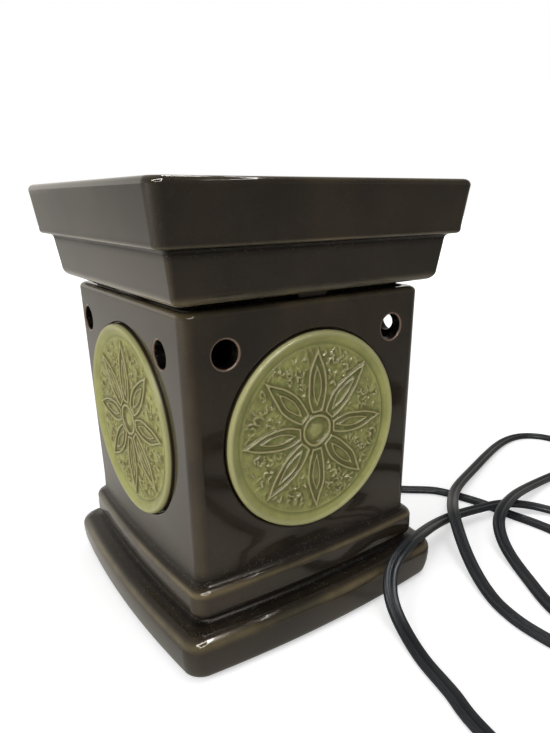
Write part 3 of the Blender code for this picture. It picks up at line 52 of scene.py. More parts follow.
MM = 0.001
MERGE = 0.002 * MM
FACES = ("front", "right", "back", "left")
PHOTO_WIDTH = 550.0
PHOTO_HEIGHT = 733.0


# Sizes that the loaded frame has too

COLUMN_TOP = 127.0
COLUMN_TOP_HALF = 50.7
COLUMN_BOTTOM = 33.4
COLUMN_BOTTOM_HALF = 49.2
COLUMN_WALL = 4.7
COLUMN_TILT = math.atan((COLUMN_TOP_HALF - COLUMN_BOTTOM_HALF) / (COLUMN_TOP - COLUMN_BOTTOM))
INNER_TOP_HALF = COLUMN_TOP_HALF - COLUMN_WALL
INNER_BOTTOM_HALF = COLUMN_BOTTOM_HALF - COLUMN_WALL
BODY_BOTTOM = 1.5
PLINTH_HALF = 58.6
PLINTH_BOW = 3.4
ROLL_BOW = 2.6
COLUMN_BOW = 1.6
SIDE_POINTS = 11
VENT_RADIUS = 4.8
VENT_OFFSET = 36.0
VENT_HEIGHT = 112.5
LEFT_VENT_SHIFT = 4.6
LEFT_VENT_SAG = 1.7
MEDALLION_RADIUS = 37.2
MEDALLION_HEIGHT = 78.7
MEDALLION_RECESS = 2.0
LEFT_MEDALLION_SHIFT = 1.5
DISH_BOTTOM = 129.4
DISH_TOP = 166.0
RIM_HALF = 63.5
OUTLET_HEIGHT = 11.4
OUTLET_RADIUS = 4.2
FLANGE_SEAT = PLINTH_HALF + PLINTH_BOW + 0.3
NOSE_END = FLANGE_SEAT + 16.6
TUBE_RADIUS = 2.1
SWITCH_START = 66.0
SWITCH_LENGTH = 46.0
SWITCH_WIDTH = 19.0
SWITCH_SPLIT = 8.0
SWITCH_SEAM = 0.3
SWITCH_LINE_Y = -215.0
SWITCH_MIDDLE = SWITCH_START + 0.5 * SWITCH_LENGTH
SWITCH_AXIS = SWITCH_SPLIT + 0.5 * SWITCH_SEAM
WHEEL_PLACE = (89.0, -210.0, 8.15)
PLUG_START = 172.0
PLUG_LENGTH = 32.0
PLUG_LINE_Y = -213.0
PLUG_HALF_HEIGHT = 8.0
LAMP_PITCH = 2.54
FOOT_PLACE = 38.0
SCREW_PLACE = 24.0

# The cord's line as (x, y, z), z being the height of a round cord's middle
CORD_ROUTE = (
    (0.8, 92.0, 10.4), (7.5, 103.0, 6.4), (20.0, 109.0, 3.2), (36.0, 106.0, 2.1), (51.0, 95.0, 2.1),
    (67.5, 68.0, 2.1), (84.0, 33.0, 2.1), (103.3, 5.4, 2.1), (116.1, -5.7, 2.1), (121.5, -15.9, 2.1),
    (126.4, -32.9, 2.1), (127.7, -45.1, 2.1), (129.6, -55.9, 2.1), (131.3, -68.6, 2.1),
    (130.0, -92.0, 2.1), (122.0, -115.0, 2.1), (107.0, -131.0, 2.1), (87.5, -133.0, 2.1),
    (75.5, -120.0, 2.1), (78.8, -102.0, 2.1), (87.2, -86.7, 2.1), (93.9, -73.3, 4.0),
    (100.2, -63.2, 7.5), (107.4, -56.8, 11.0), (125.2, -49.6, 11.8), (149.8, -42.4, 8.0),
    (178.6, -37.4, 4.0), (203.0, -35.0, 2.1), (224.0, -30.0, 2.1), (237.0, -16.0, 2.1),
    (238.0, 1.2, 2.1), (229.4, 12.4, 2.1), (214.9, 15.0, 2.5), (188.4, 8.2, 4.0),
    (149.4, -7.0, 6.0), (119.6, -20.0, 8.0), (100.6, -33.5, 11.5), (86.0, -46.9, 14.2),
    (77.6, -59.5, 8.5), (68.9, -74.9, 4.0), (61.9, -91.0, 2.1), (59.1, -104.5, 2.1),
    (59.3, -115.6, 2.1), (63.0, -134.0, 2.1), (80.0, -152.0, 2.1), (108.0, -160.0, 2.1),
    (135.0, -149.0, 2.1), (151.0, -124.0, 2.1), (156.5, -93.0, 2.1), (150.5, -65.0, 2.3),
    (140.8, -51.8, 4.5), (127.6, -44.8, 6.8), (116.3, -41.8, 7.2), (97.3, -40.5, 8.8),
    (83.5, -43.0, 11.4), (68.4, -48.6, 15.6), (52.8, -55.6, 20.0), (42.8, -59.3, 21.4),
    (35.2, -61.9, 20.8), (29.4, -63.6, 18.2), (24.9, -66.6, 13.5), (21.7, -71.5, 8.5),
    (18.6, -80.8, 4.0), (13.5, -97.2, 2.1), (10.1, -112.3, 2.1), (7.5, -120.5, 2.1),
    (4.6, -140.0, 2.1), (3.5, -160.0, 2.1),
)
PLUG_LEAD_ROUTE = ((130.0, -215.0, 4.4), (142.0, -214.0, 2.8), (156.0, -213.2, 5.2))
COIL_MIDDLE = (34.5, -184.0)
COIL_RADIUS = 31.0
COIL_TURNS = 2.25
COIL_PITCH = 6.2
COIL_LAYER = 4.9
COIL_STEPS = 24

# Where a stretch of cord starts past its fitting, and where it may bend
CORD_GAP = 0.3
CORD_STRAIGHT = 4.5

# How deep the cord's ends go into their fittings
BUSH_DEPTH = 6.0
SWITCH_DEPTH = 3.0
PLUG_DEPTH = 2.0

# How far the glaze breaks to bronze along upright corners
CORNER_BREAK = 0.16


# Settings a user can change


class WarmerStageSettings(bpy.types.PropertyGroup):
    """Camera, lamps and floor"""

    yaw: FloatProperty(name="View turn", description="Camera direction about the upright axis",
                       default=math.radians(-35.392), subtype="ANGLE")
    pitch: FloatProperty(name="View tilt", description="How far the camera looks down",
                         default=math.radians(16.934), subtype="ANGLE")
    roll: FloatProperty(name="View roll", description="Turn of the picture in its own plane",
                        default=math.radians(-0.526), subtype="ANGLE")
    focal: FloatProperty(name="Focal length", description="Focal length in picture dots of the frame",
                         default=613.79)
    centre: FloatVectorProperty(name="Lens centre", description="Where the lens axis meets the frame",
                                size=2, default=(295.94, 384.06))
    place: FloatVectorProperty(name="Camera place", description="Where the camera stands", size=3,
                               default=(-0.12722, -0.21715, 0.16012), subtype="TRANSLATION")
    key: FloatProperty(name="Key lamp", description="Power of the large soft lamp in front",
                       default=6.5, unit="POWER")
    glint: FloatProperty(name="Glint", description="Brightness of the window frame overhead", default=38.0)
    strip_place: FloatVectorProperty(name="Strip place", description="Middle of the strip seen in the rim",
                                     size=3, default=(0.095, 0.11, 0.445), subtype="TRANSLATION")
    window_place: FloatVectorProperty(name="Window place", description="Middle of the window frame",
                                      size=3, default=(-0.12, -0.36, 0.445), subtype="TRANSLATION")
    window_size: FloatVectorProperty(name="Window size", description="Width and length of the frame",
                                     size=2, default=(0.34, 0.3))
    top: FloatProperty(name="Top lamp", description="Power of the lamp overhead", default=2.4,
                       unit="POWER")
    surround: FloatProperty(name="Surround", description="Brightness of the room seen in the glaze",
                            default=0.85)
    dark_side: FloatProperty(name="Dark side", description="Brightness of the room in front of the glaze",
                             default=0.29)
    fill: FloatProperty(name="Fill", description="Light from the room on dull surfaces", default=0.55)
    floor_colour: FloatVectorProperty(name="Floor", description="Colour of the floor", size=3,
                                      default=(0.78, 0.78, 0.78), subtype="COLOR")


class WarmerGlazeSettings(bpy.types.PropertyGroup):
    """Colours of the two glazes"""

    deep: FloatVectorProperty(name="Deep brown", description="Glaze where it lies thick", size=3,
                              default=(0.0205, 0.0162, 0.0114), subtype="COLOR")
    bronze: FloatVectorProperty(name="Bronze break", description="Glaze where it thins over edges",
                                size=3, default=(0.087, 0.073, 0.042), subtype="COLOR")
    pooled: FloatVectorProperty(name="Pooled brown", description="Glaze where it gathers in grooves",
                                size=3, default=(0.0022, 0.0017, 0.0014), subtype="COLOR")
    bare: FloatVectorProperty(name="Bare rim", description="Clay seen through the glaze at hole rims",
                              size=3, default=(0.16, 0.105, 0.075), subtype="COLOR")
    celadon: FloatVectorProperty(name="Celadon", description="Green glaze on the medallions", size=3,
                                 default=(0.285, 0.282, 0.088), subtype="COLOR")
    celadon_pale: FloatVectorProperty(name="Pale celadon", description="Green glaze on raised lines",
                                      size=3, default=(0.35, 0.335, 0.155), subtype="COLOR")
    celadon_pool: FloatVectorProperty(name="Celadon pools", description="Green glaze in hollows",
                                      size=3, default=(0.085, 0.105, 0.018), subtype="COLOR")
    wave: FloatProperty(name="Glaze wave", description="Depth of the slow waves in the glaze",
                        default=0.00009, unit="LENGTH", precision=6)


class WarmerBodySettings(bpy.types.PropertyGroup):
    """Sizes of the body and the dish"""

    corner_steps: IntProperty(name="Corner steps", description="Points in each rounded corner",
                              default=12, min=4)
    roll_half: FloatProperty(name="Upper step", description="Half width of the upper base step",
                             default=52.2 * MM, unit="LENGTH")
    plinth_half: FloatProperty(name="Lower step", description="Half width of the lower base step",
                               default=PLINTH_HALF * MM, unit="LENGTH")
    lip_round: FloatProperty(name="Lip round", description="Rounding of the body's upper lip",
                             default=2.2 * MM, unit="LENGTH")
    rim_round: FloatProperty(name="Rim round", description="Rounding of the dish's rim",
                             default=2.2 * MM, unit="LENGTH")
    vent_round: FloatProperty(name="Vent round", description="Rounding of the vent holes' edges",
                              default=0.9 * MM, unit="LENGTH")


class WarmerMedallionSettings(bpy.types.PropertyGroup):
    """Relief of the medallions"""

    petals: IntProperty(name="Petals", description="Number of petals", default=8, min=3)
    petal_inner: FloatProperty(name="Petal start", description="Radius where the petals begin",
                               default=6.9 * MM, unit="LENGTH")
    petal_outer: FloatProperty(name="Petal tip", description="Radius of the petals' tips",
                               default=31.8 * MM, unit="LENGTH")
    petal_width: FloatProperty(name="Petal width", description="Widest width of a petal",
                               default=8.6 * MM, unit="LENGTH")
    grain: FloatProperty(name="Relief fineness", description="Size of the relief's surface cells",
                         default=0.28 * MM, unit="LENGTH", precision=5)


class WarmerCordSettings(bpy.types.PropertyGroup):
    """The flat twin cord"""

    width: FloatProperty(name="Width", description="Width across both cores", default=5.8 * MM,
                         unit="LENGTH")
    thickness: FloatProperty(name="Thickness", description="Thickness of one core", default=2.9 * MM,
                             unit="LENGTH")
    colour: FloatVectorProperty(name="Jacket", description="Colour of the jacket", size=3,
                                default=(0.0070, 0.0092, 0.0125), subtype="COLOR")


class WarmerLampSettings(bpy.types.PropertyGroup):
    """The bulb and its socket"""

    globe_radius: FloatProperty(name="Globe radius", description="Radius of the bulb's globe",
                                default=25.0 * MM, unit="LENGTH")
    glass_wall: FloatProperty(name="Glass wall", description="Thickness of the globe's glass",
                              default=0.8 * MM, unit="LENGTH")
    thread_depth: FloatProperty(name="Thread depth", description="Depth of the rolled thread",
                                default=0.35 * MM, unit="LENGTH", precision=5)


class WarmerSwitchSettings(bpy.types.PropertyGroup):
    """The switch in the cord and the plug"""

    wheel_ribs: IntProperty(name="Wheel ribs", description="Ribs round the dial", default=24, min=8)
    grip_ribs: IntProperty(name="Grip ribs", description="Ribs on each side of the plug", default=4,
                           min=0)


# Helpers for modelling


def start_clean():
    """Leave edit mode and deselect everything."""
    if bpy.context.mode != "OBJECT":
        bpy.ops.object.mode_set(mode="OBJECT")
    bpy.ops.object.select_all(action="DESELECT")


def activate(item):
    """Make one object the only selected and active one."""
    start_clean()
    item.select_set(True)
    bpy.context.view_layer.objects.active = item


def edit(item):
    """Open an object in edit mode."""
    activate(item)
    bpy.ops.object.mode_set(mode="EDIT")


def choose(item, test, kind="VERT"):
    """Select the points, edges or faces that pass a test, in edit mode."""
    bpy.ops.mesh.select_mode(type=kind)
    bpy.ops.mesh.select_all(action="DESELECT")
    shape = bmesh.from_edit_mesh(item.data)
    elements = {"VERT": shape.verts, "EDGE": shape.edges, "FACE": shape.faces}[kind]
    for element in elements:
        if test(element):
            element.select_set(True)
    if kind == "VERT":
        shape.select_flush(True)
    bmesh.update_edit_mesh(item.data)


def turn_outward(item):
    """Make all faces of a closed mesh point outward."""
    edit(item)
    bpy.ops.mesh.select_mode(type="FACE")
    bpy.ops.mesh.select_all(action="SELECT")
    bpy.ops.mesh.normals_make_consistent(inside=False)
    bpy.ops.object.mode_set(mode="OBJECT")


def arc(centre, radii, start, stop, steps):
    """Points on an arc in a (half width, height) profile, angles in degrees."""
    points = []
    for step in range(steps + 1):
        angle = math.radians(start + (stop - start) * step / steps)
        points.append((centre[0] + radii[0] * math.cos(angle), centre[1] + radii[1] * math.sin(angle)))
    return points


def limited(value):
    """A value kept between 0 and 1."""
    return min(1.0, max(0.0, value))


def add_marked(line, points, thin=0.0, pool=0.0):
    """Add points to an outline as (half width, height, (thin, pool))."""
    line.extend((half, z, (thin, pool)) for half, z in points)


def add_graded(line, points, marks):
    """Add points whose glaze marks follow a function of the share along them."""
    for index, (half, z) in enumerate(points):
        line.append((half, z, marks(index / (len(points) - 1))))


def broken(peak, start=0.0):
    """Marks of a rounded edge, where the glaze is thinnest halfway."""
    return lambda share: (start + peak * math.sin(math.pi * share) ** 2, 0.0)


def corner_at(half):
    """Corner radius of the body at a half width."""
    return max(1.6, 4.5 + 0.15 * (half - COLUMN_TOP_HALF))


def ring_points(section, steps, side):
    """One level ring with rounded corners, from (half x, half y, corner, z, marks, bow of the sides)."""
    half_x, half_y, corner, z = section[:4]
    bow = section[5] if len(section) > 5 else 0.0
    corner = min(corner, 0.98 * min(half_x, half_y))
    plain = []
    for quarter, (side_x, side_y) in enumerate(((1, 1), (-1, 1), (-1, -1), (1, -1))):
        for step in range(steps + 1):
            angle = math.radians(90.0 * (quarter + step / steps))
            x = side_x * (half_x - corner) + corner * math.cos(angle)
            y = side_y * (half_y - corner) + corner * math.sin(angle)
            plain.append(Vector((x, y, z)))
    points = []
    for index, point in enumerate(plain):
        points.append(point)
        if index % (steps + 1) == steps:
            after = plain[(index + 1) % len(plain)]
            points += [point.lerp(after, (step + 1) / (side + 1)) for step in range(side)]
    swell = [Vector((bow * point.x / half_x * (1.0 - (point.y / half_y) ** 2),
                     bow * point.y / half_y * (1.0 - (point.x / half_x) ** 2), 0.0)) for point in points]
    return [(point + out) * MM for point, out in zip(points, swell)]


def place_ring(item, section, steps, side, number):
    """Set the selected ring to its section, with its glaze marks."""
    shape = bmesh.from_edit_mesh(item.data)
    spot = shape.verts.layers.int["spot"]
    ring = shape.verts.layers.int["ring"]
    thin = shape.verts.layers.float["thin"]
    pool = shape.verts.layers.float["pool"]
    points = ring_points(section, steps, side)
    marks = section[4] if len(section) > 4 else (0.0, 0.0)
    for vert in shape.verts:
        if vert.select:
            vert.co = points[vert[spot]]
            vert[ring] = number
            share = min(1.0, (vert[spot] % (steps + 1 + side)) / steps)
            edge = CORNER_BREAK * math.sin(math.pi * share) ** 2
            vert[thin] = max(marks[0], edge * (1.0 - marks[1]))
            vert[pool] = marks[1]
    bmesh.update_edit_mesh(item.data)


def ring_stack(name, sections, steps, side=0, endless=False):
    """Extrude a ring through its sections. An endless stack closes on its first ring."""
    start_clean()
    count = 4 * (steps + 1 + side)
    bpy.ops.mesh.primitive_circle_add(vertices=count, radius=sections[0][0] * MM)
    item = bpy.context.active_object
    item.name = name
    bpy.ops.object.mode_set(mode="EDIT")
    bpy.ops.mesh.select_mode(type="VERT")
    shape = bmesh.from_edit_mesh(item.data)
    for kind in ("spot", "ring"):
        shape.verts.layers.int.new(kind)
    for kind in ("thin", "pool"):
        shape.verts.layers.float.new(kind)
    spot = shape.verts.layers.int["spot"]
    shape.verts.ensure_lookup_table()
    for index, vert in enumerate(shape.verts):
        vert[spot] = index
    bmesh.update_edit_mesh(item.data)
    bpy.ops.mesh.select_all(action="SELECT")
    place_ring(item, sections[0], steps, side, 0)
    for number, section in enumerate(sections[1:], 1):
        bpy.ops.mesh.extrude_region_move(TRANSFORM_OT_translate={"value": (0.0, 0.0, MM)})
        place_ring(item, section, steps, side, number)
    last = len(sections) - 1
    if endless:
        shape = bmesh.from_edit_mesh(item.data)
        ring = shape.verts.layers.int["ring"]
        choose(item, lambda vert: vert[ring] in (0, last))
        bpy.ops.mesh.bridge_edge_loops()
    else:
        for number in (0, last):
            shape = bmesh.from_edit_mesh(item.data)
            ring = shape.verts.layers.int["ring"]
            choose(item, lambda vert: vert[ring] == number)
            bpy.ops.mesh.edge_face_add()
    turn_outward(item)
    return item


def spun(name, profile, steps=64):
    """Turn a profile of (radius, height) points in millimetres about the upright axis."""
    start_clean()
    bpy.ops.mesh.primitive_plane_add(size=MM)
    item = bpy.context.active_object
    item.name = name
    bpy.ops.object.mode_set(mode="EDIT")
    bpy.ops.mesh.select_mode(type="VERT")
    bpy.ops.mesh.select_all(action="SELECT")
    bpy.ops.mesh.merge(type="CENTER")
    shape = bmesh.from_edit_mesh(item.data)
    shape.verts.ensure_lookup_table()
    shape.verts[0].co = (profile[0][0] * MM, 0.0, profile[0][1] * MM)
    shape.verts[0].select_set(True)
    bmesh.update_edit_mesh(item.data)
    for before, after in zip(profile, profile[1:]):
        move = ((after[0] - before[0]) * MM, 0.0, (after[1] - before[1]) * MM)
        bpy.ops.mesh.extrude_vertices_move(TRANSFORM_OT_translate={"value": move})
    bpy.ops.mesh.select_all(action="SELECT")
    bpy.ops.mesh.spin(steps=steps, angle=2.0 * math.pi, center=(0.0, 0.0, 0.0), axis=(0.0, 0.0, 1.0))
    bpy.ops.mesh.select_all(action="SELECT")
    bpy.ops.mesh.remove_doubles(threshold=MERGE)
    turn_outward(item)
    return item


def moved(x=0.0, y=0.0, z=0.0):
    """A shift by millimetres."""
    return Matrix.Translation(Vector((x, y, z)) * MM)


def turned(degrees, axis):
    """A turn about one axis."""
    return Matrix.Rotation(math.radians(degrees), 4, axis)


def settle(item, matrix):
    """Move an object by a matrix and put that place into its mesh."""
    item.matrix_world = matrix
    activate(item)
    bpy.ops.object.transform_apply(location=True, rotation=True, scale=True)
    return item


def duplicate(item, name):
    """A copy with its own mesh."""
    copy = item.copy()
    copy.data = item.data.copy()
    copy.name = name
    bpy.context.collection.objects.link(copy)
    return copy


def combine(item, tool, operation="DIFFERENCE"):
    """Cut with a tool or join it, and remove the tool."""
    apply_modifier(item, "BOOLEAN", object=tool, operation=operation, solver="EXACT")
    bpy.data.objects.remove(tool)


def punch_all(item, punch, matrices):
    """Cut with a tool at each place, and remove the tool."""
    for matrix in matrices:
        combine(item, settle(duplicate(punch, "tool"), matrix))
    bpy.data.objects.remove(punch)


def joined(items, name):
    """Join objects into one mesh."""
    start_clean()
    for item in items:
        item.select_set(True)
    bpy.context.view_layer.objects.active = items[0]
    bpy.ops.object.join()
    items[0].name = name
    return items[0]


def apply_modifier(item, kind, **settings):
    """Add a modifier, set it and apply it."""
    activate(item)
    change = item.modifiers.new("shape", kind)
    for key, value in settings.items():
        setattr(change, key, value)
    bpy.ops.object.modifier_apply(modifier=change.name)


def finish_piece(item, name, slot, *replaced, body="base", look=None, smooth=35.0, weighted=False):
    """Name and smooth a piece and let it ride on its body, in its slot's finish or another look."""
    item.name = name
    item.data.name = name
    item.data.materials.clear()
    item.data.materials.append(finish(look or slot))
    activate(item)
    bpy.ops.object.shade_smooth_by_angle(angle=math.radians(smooth))
    if weighted:
        apply_modifier(item, "WEIGHTED_NORMAL", keep_sharp=True, weight=50)
    for layer in ("spot", "ring"):
        if layer in item.data.attributes:
            item.data.attributes.remove(item.data.attributes[layer])
    start_clean()
    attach(item, body)
    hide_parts(*replaced)


def rod(name, radius, low, high, steps):
    """A round tool between two heights, sizes in millimetres."""
    return spun(name, [(0.0, low), (radius, low), (radius, high), (0.0, high)], steps)


def prism(sides, radius, low, high):
    """An upright prism between two heights, sizes in millimetres."""
    start_clean()
    bpy.ops.mesh.primitive_cylinder_add(vertices=sides, radius=radius * MM, depth=(high - low) * MM,
                                        location=(0.0, 0.0, 0.5 * (high + low) * MM))
    bpy.ops.object.transform_apply(location=True, rotation=True, scale=True)
    return bpy.context.active_object


def slab(size, middle=(0.0, 0.0, 0.0), soft=0.0, segments=3):
    """A block with softened edges, sizes in millimetres."""
    start_clean()
    bpy.ops.mesh.primitive_cube_add(size=MM, location=Vector(middle) * MM)
    item = bpy.context.active_object
    bpy.ops.object.mode_set(mode="EDIT")
    bpy.ops.mesh.select_all(action="SELECT")
    bpy.ops.transform.resize(value=size)
    if soft:
        bpy.ops.mesh.bevel(offset=soft * MM, segments=segments, affect="EDGES")
    activate(item)
    bpy.ops.object.transform_apply(location=True, rotation=True, scale=True)
    return item


def pull_in(vert, depth):
    """Move a point toward the upright axis by a depth in metres."""
    shrink = 1.0 - depth / math.hypot(vert.co.x, vert.co.y)
    vert.co.x *= shrink
    vert.co.y *= shrink


def read_values(items, name, size=1, kind=float):
    """A value of many mesh items as a row of numbers, or rows of a size."""
    values = np.empty(size * len(items), dtype=kind)
    items.foreach_get(name, values)
    return values.reshape(-1, size) if size > 1 else values


def face_matrix(face, outward, z, along=0.0, tilt=COLUMN_TILT):
    """Place on a face: local Z looks out of it and local Y points up."""
    lean = Matrix.Rotation(math.radians(90.0) + tilt, 4, "X")
    return turned(90.0 * FACES.index(face), "Z") @ moved(along, -outward, z) @ lean


def column_half_at(z):
    """Half width of the column at a height."""
    share = (z - COLUMN_BOTTOM) / (COLUMN_TOP - COLUMN_BOTTOM)
    return COLUMN_BOTTOM_HALF + share * (COLUMN_TOP_HALF - COLUMN_BOTTOM_HALF)


# Helpers for materials


WHITE = (1.0, 1.0, 1.0, 1.0)
BLACK = (0.0, 0.0, 0.0, 1.0)
TONE_THICK = (0.66, 0.68, 0.7, 1.0)
TONE_CLEAR = (1.3, 1.18, 1.04, 1.0)
SPECK_COLOUR = (0.21, 0.18, 0.14, 1.0)
RUST_COLOUR = (0.1, 0.062, 0.024, 1.0)
# Dark brown on the medallion disc's outer edge: partly brown glaze run over it, partly painted shadow of the
# gap round the disc
EDGE_GLAZE_AND_SHADOW_COLOUR = (0.03, 0.021, 0.012, 1.0)
GLINT_COLOUR = (1.0, 0.9, 0.8, 1.0)
ROOM_WARMTH = (1.0, 0.965, 0.895, 1.0)
FLOOR_WARMTH = (1.0, 0.96, 0.88, 1.0)
JACKET_RIBS = 20.0


def feed(tree, socket, value):
    """Give a socket a number, a colour or another node's output."""
    if isinstance(value, bpy.types.NodeSocket):
        tree.links.new(value, socket)
    else:
        socket.default_value = value


def node(tree, kind, inputs=None, **settings):
    """Add a node, set it and feed its inputs."""
    made = tree.nodes.new(kind)
    for key, value in settings.items():
        setattr(made, key, value)
    for key, value in (inputs or {}).items():
        feed(tree, made.inputs[key], value)
    return made


def mix_colour(tree, factor, first, second, blend="MIX"):
    """Mix two colours."""
    made = node(tree, "ShaderNodeMix", {0: factor, 6: first, 7: second}, data_type="RGBA", blend_type=blend)
    return made.outputs[2]


def maths(tree, operation, *values, clamp=False):
    """A Math node's output."""
    made = node(tree, "ShaderNodeMath", dict(enumerate(values)), operation=operation, use_clamp=clamp)
    return made.outputs[0]


def times(tree, first, second, clamp=False):
    """One value times another."""
    return maths(tree, "MULTIPLY", first, second, clamp=clamp)


def linear(tree, value, slope, start, clamp=False):
    """A start plus a value times a slope."""
    return maths(tree, "MULTIPLY_ADD", value, slope, start, clamp=clamp)


def spread(tree, value, low, high, to_low=0.0, to_high=1.0, curve="SMOOTHSTEP"):
    """Map a value between two limits, smoothly or in a straight line."""
    made = node(tree, "ShaderNodeMapRange", {"Value": value, "From Min": low, "From Max": high,
                                             "To Min": to_low, "To Max": to_high},
                interpolation_type=curve)
    return made.outputs["Result"]


def object_place(tree):
    """A point's place on its object."""
    return node(tree, "ShaderNodeTexCoord").outputs["Object"]


def attribute(tree, name):
    """A value kept on the mesh's points."""
    return node(tree, "ShaderNodeAttribute", attribute_name=name).outputs["Fac"]


def colour(values):
    """A colour with full alpha."""
    return (*values, 1.0)


def principled(name, **sockets):
    """A material with one Principled shader whose constants are set by socket name."""
    material = bpy.data.materials.new(name)
    material.use_nodes = True
    shader = material.node_tree.nodes["Principled BSDF"]
    for key, value in sockets.items():
        shader.inputs[key.replace("_", " ")].default_value = value
    return material, material.node_tree, shader


def dress(tree, shader, base, rough, height, depth):
    """Feed the shader its colour, its roughness and a bump of some depth."""
    feed(tree, shader.inputs["Base Color"], base)
    feed(tree, shader.inputs["Roughness"], rough)
    bump = node(tree, "ShaderNodeBump", {"Height": height, "Distance": depth, "Strength": 1.0})
    feed(tree, shader.inputs["Normal"], bump.outputs["Normal"])


def group_tree(name, inputs, outputs):
    """A node group with number sockets: its tree, what it is given and what it puts out."""
    tree = bpy.data.node_groups.new(name, "ShaderNodeTree")
    for key, default in inputs.items():
        tree.interface.new_socket(key, in_out="INPUT", socket_type="NodeSocketFloat").default_value = default
    for key in outputs:
        tree.interface.new_socket(key, in_out="OUTPUT", socket_type="NodeSocketFloat")
    return tree, tree.nodes.new("NodeGroupInput").outputs, tree.nodes.new("NodeGroupOutput").inputs


def use_group(tree, name, **inputs):
    """Place a node group with its own values."""
    values = {key.replace("_", " "): value for key, value in inputs.items()}
    return node(tree, "ShaderNodeGroup", values, node_tree=bpy.data.node_groups[name]).outputs


def noise(tree, vector, scale, detail=3.0, roughness=0.5):
    """A noise value on a vector."""
    made = node(tree, "ShaderNodeTexNoise", {"Vector": vector, "Scale": scale, "Detail": detail,
                                             "Roughness": roughness})
    return made.outputs["Fac"]


def surface_group():
    """A glaze's slow waves, fine peel and broad patches."""
    tree, given, out = group_tree("Glaze surface", {"Wave Scale": 55.0, "Peel Scale": 900.0,
                                                    "Peel Share": 0.12}, ("Height", "Patch"))
    place = object_place(tree)
    wave = noise(tree, place, given["Wave Scale"], 2.0, 0.45)
    peel = noise(tree, place, given["Peel Scale"], 2.0, 0.5)
    feed(tree, out["Height"], linear(tree, peel, given["Peel Share"], wave))
    patch = noise(tree, place, times(tree, given["Wave Scale"], 0.6), 4.0, 0.6)
    feed(tree, out["Patch"], spread(tree, patch, 0.3, 0.7))


def specks_group():
    """Small specks that gather in some places."""
    tree, given, out = group_tree("Glaze specks", {"Scale": 900.0, "Amount": 0.5}, ("Specks",))
    place = object_place(tree)
    cells = node(tree, "ShaderNodeTexVoronoi", {"Vector": place, "Scale": given["Scale"],
                                                "Randomness": 1.0}, feature="F1")
    dots = spread(tree, cells.outputs["Distance"], 0.30, 0.12)
    chance = noise(tree, place, times(tree, given["Scale"], 0.23), 3.0, 0.6)
    kept = times(tree, dots, spread(tree, chance, 0.46, 0.56))
    feed(tree, out["Specks"], times(tree, kept, given["Amount"]))


def grain_group():
    """The grain, uneven roughness and dust of moulded plastic or rubber."""
    tree, given, out = group_tree("Moulded grain", {"Scale": 1400.0, "Rough Low": 0.35, "Rough High": 0.5},
                                  ("Height", "Roughness", "Dust"))
    place = object_place(tree)
    broad = noise(tree, place, times(tree, given["Scale"], 0.04), 3.0, 0.6)
    feed(tree, out["Height"], noise(tree, place, given["Scale"], 3.0, 0.55))
    feed(tree, out["Roughness"], spread(tree, broad, 0.3, 0.7, given["Rough Low"], given["Rough High"],
                                        "LINEAR"))
    feed(tree, out["Dust"], spread(tree, broad, 0.45, 0.75))


def metal_group():
    """The fine lines, uneven roughness and tarnish of worked metal."""
    tree, given, out = group_tree("Worked metal", {"Scale": 300.0, "Rough Low": 0.2, "Rough High": 0.4},
                                  ("Height", "Roughness", "Tarnish"))
    place = object_place(tree)
    stretch = node(tree, "ShaderNodeMapping", {"Vector": place, "Scale": (1.0, 1.0, 14.0)})
    lines = noise(tree, stretch.outputs["Vector"], given["Scale"], 3.0, 0.6)
    darkening = noise(tree, place, times(tree, given["Scale"], 0.5), 4.0, 0.65)
    feed(tree, out["Height"], lines)
    feed(tree, out["Roughness"], spread(tree, lines, 0.3, 0.7, given["Rough Low"], given["Rough High"],
                                        "LINEAR"))
    feed(tree, out["Tarnish"], spread(tree, darkening, 0.45, 0.7))


# Finishes


def brown_glaze():
    """Dark brown gloss glaze: bronze on edges, near black in grooves, clay at the hole rims."""
    glaze = bpy.context.scene.warmer_glaze
    material, tree, shader = principled("glaze_brown", Specular_Tint=GLINT_COLOUR, IOR=1.5,
                                        Specular_IOR_Level=0.34, Coat_Roughness=0.03, Coat_IOR=1.5)
    surface = use_group(tree, "Glaze surface", Wave_Scale=48.0, Peel_Scale=700.0, Peel_Share=0.05)
    patch = surface["Patch"]
    pool = attribute(tree, "pool")
    bare = attribute(tree, "bare")
    thin = times(tree, attribute(tree, "thin"), linear(tree, patch, slope=0.5, start=0.65), clamp=True)
    base = mix_colour(tree, thin, colour(glaze.deep), colour(glaze.bronze))
    base = mix_colour(tree, 1.0, base, mix_colour(tree, patch, TONE_THICK, TONE_CLEAR), "MULTIPLY")
    base = mix_colour(tree, pool, base, colour(glaze.pooled))
    specks = use_group(tree, "Glaze specks", Scale=1150.0, Amount=1.0)["Specks"]
    near = linear(tree, thin, slope=0.35, start=0.03)
    near = linear(tree, pool, slope=0.55, start=near, clamp=True)
    base = mix_colour(tree, times(tree, specks, near), base, SPECK_COLOUR)
    base = mix_colour(tree, bare, base, colour(glaze.bare))
    rough = linear(tree, patch, slope=0.06, start=0.09)
    rough = linear(tree, maths(tree, "ADD", bare, pool), slope=0.2, start=rough)
    clear = maths(tree, "SUBTRACT", 1.0, pool)
    feed(tree, shader.inputs["Coat Weight"], times(tree, clear, 0.45))
    dress(tree, shader, base, rough, surface["Height"], glaze.wave)
    return material


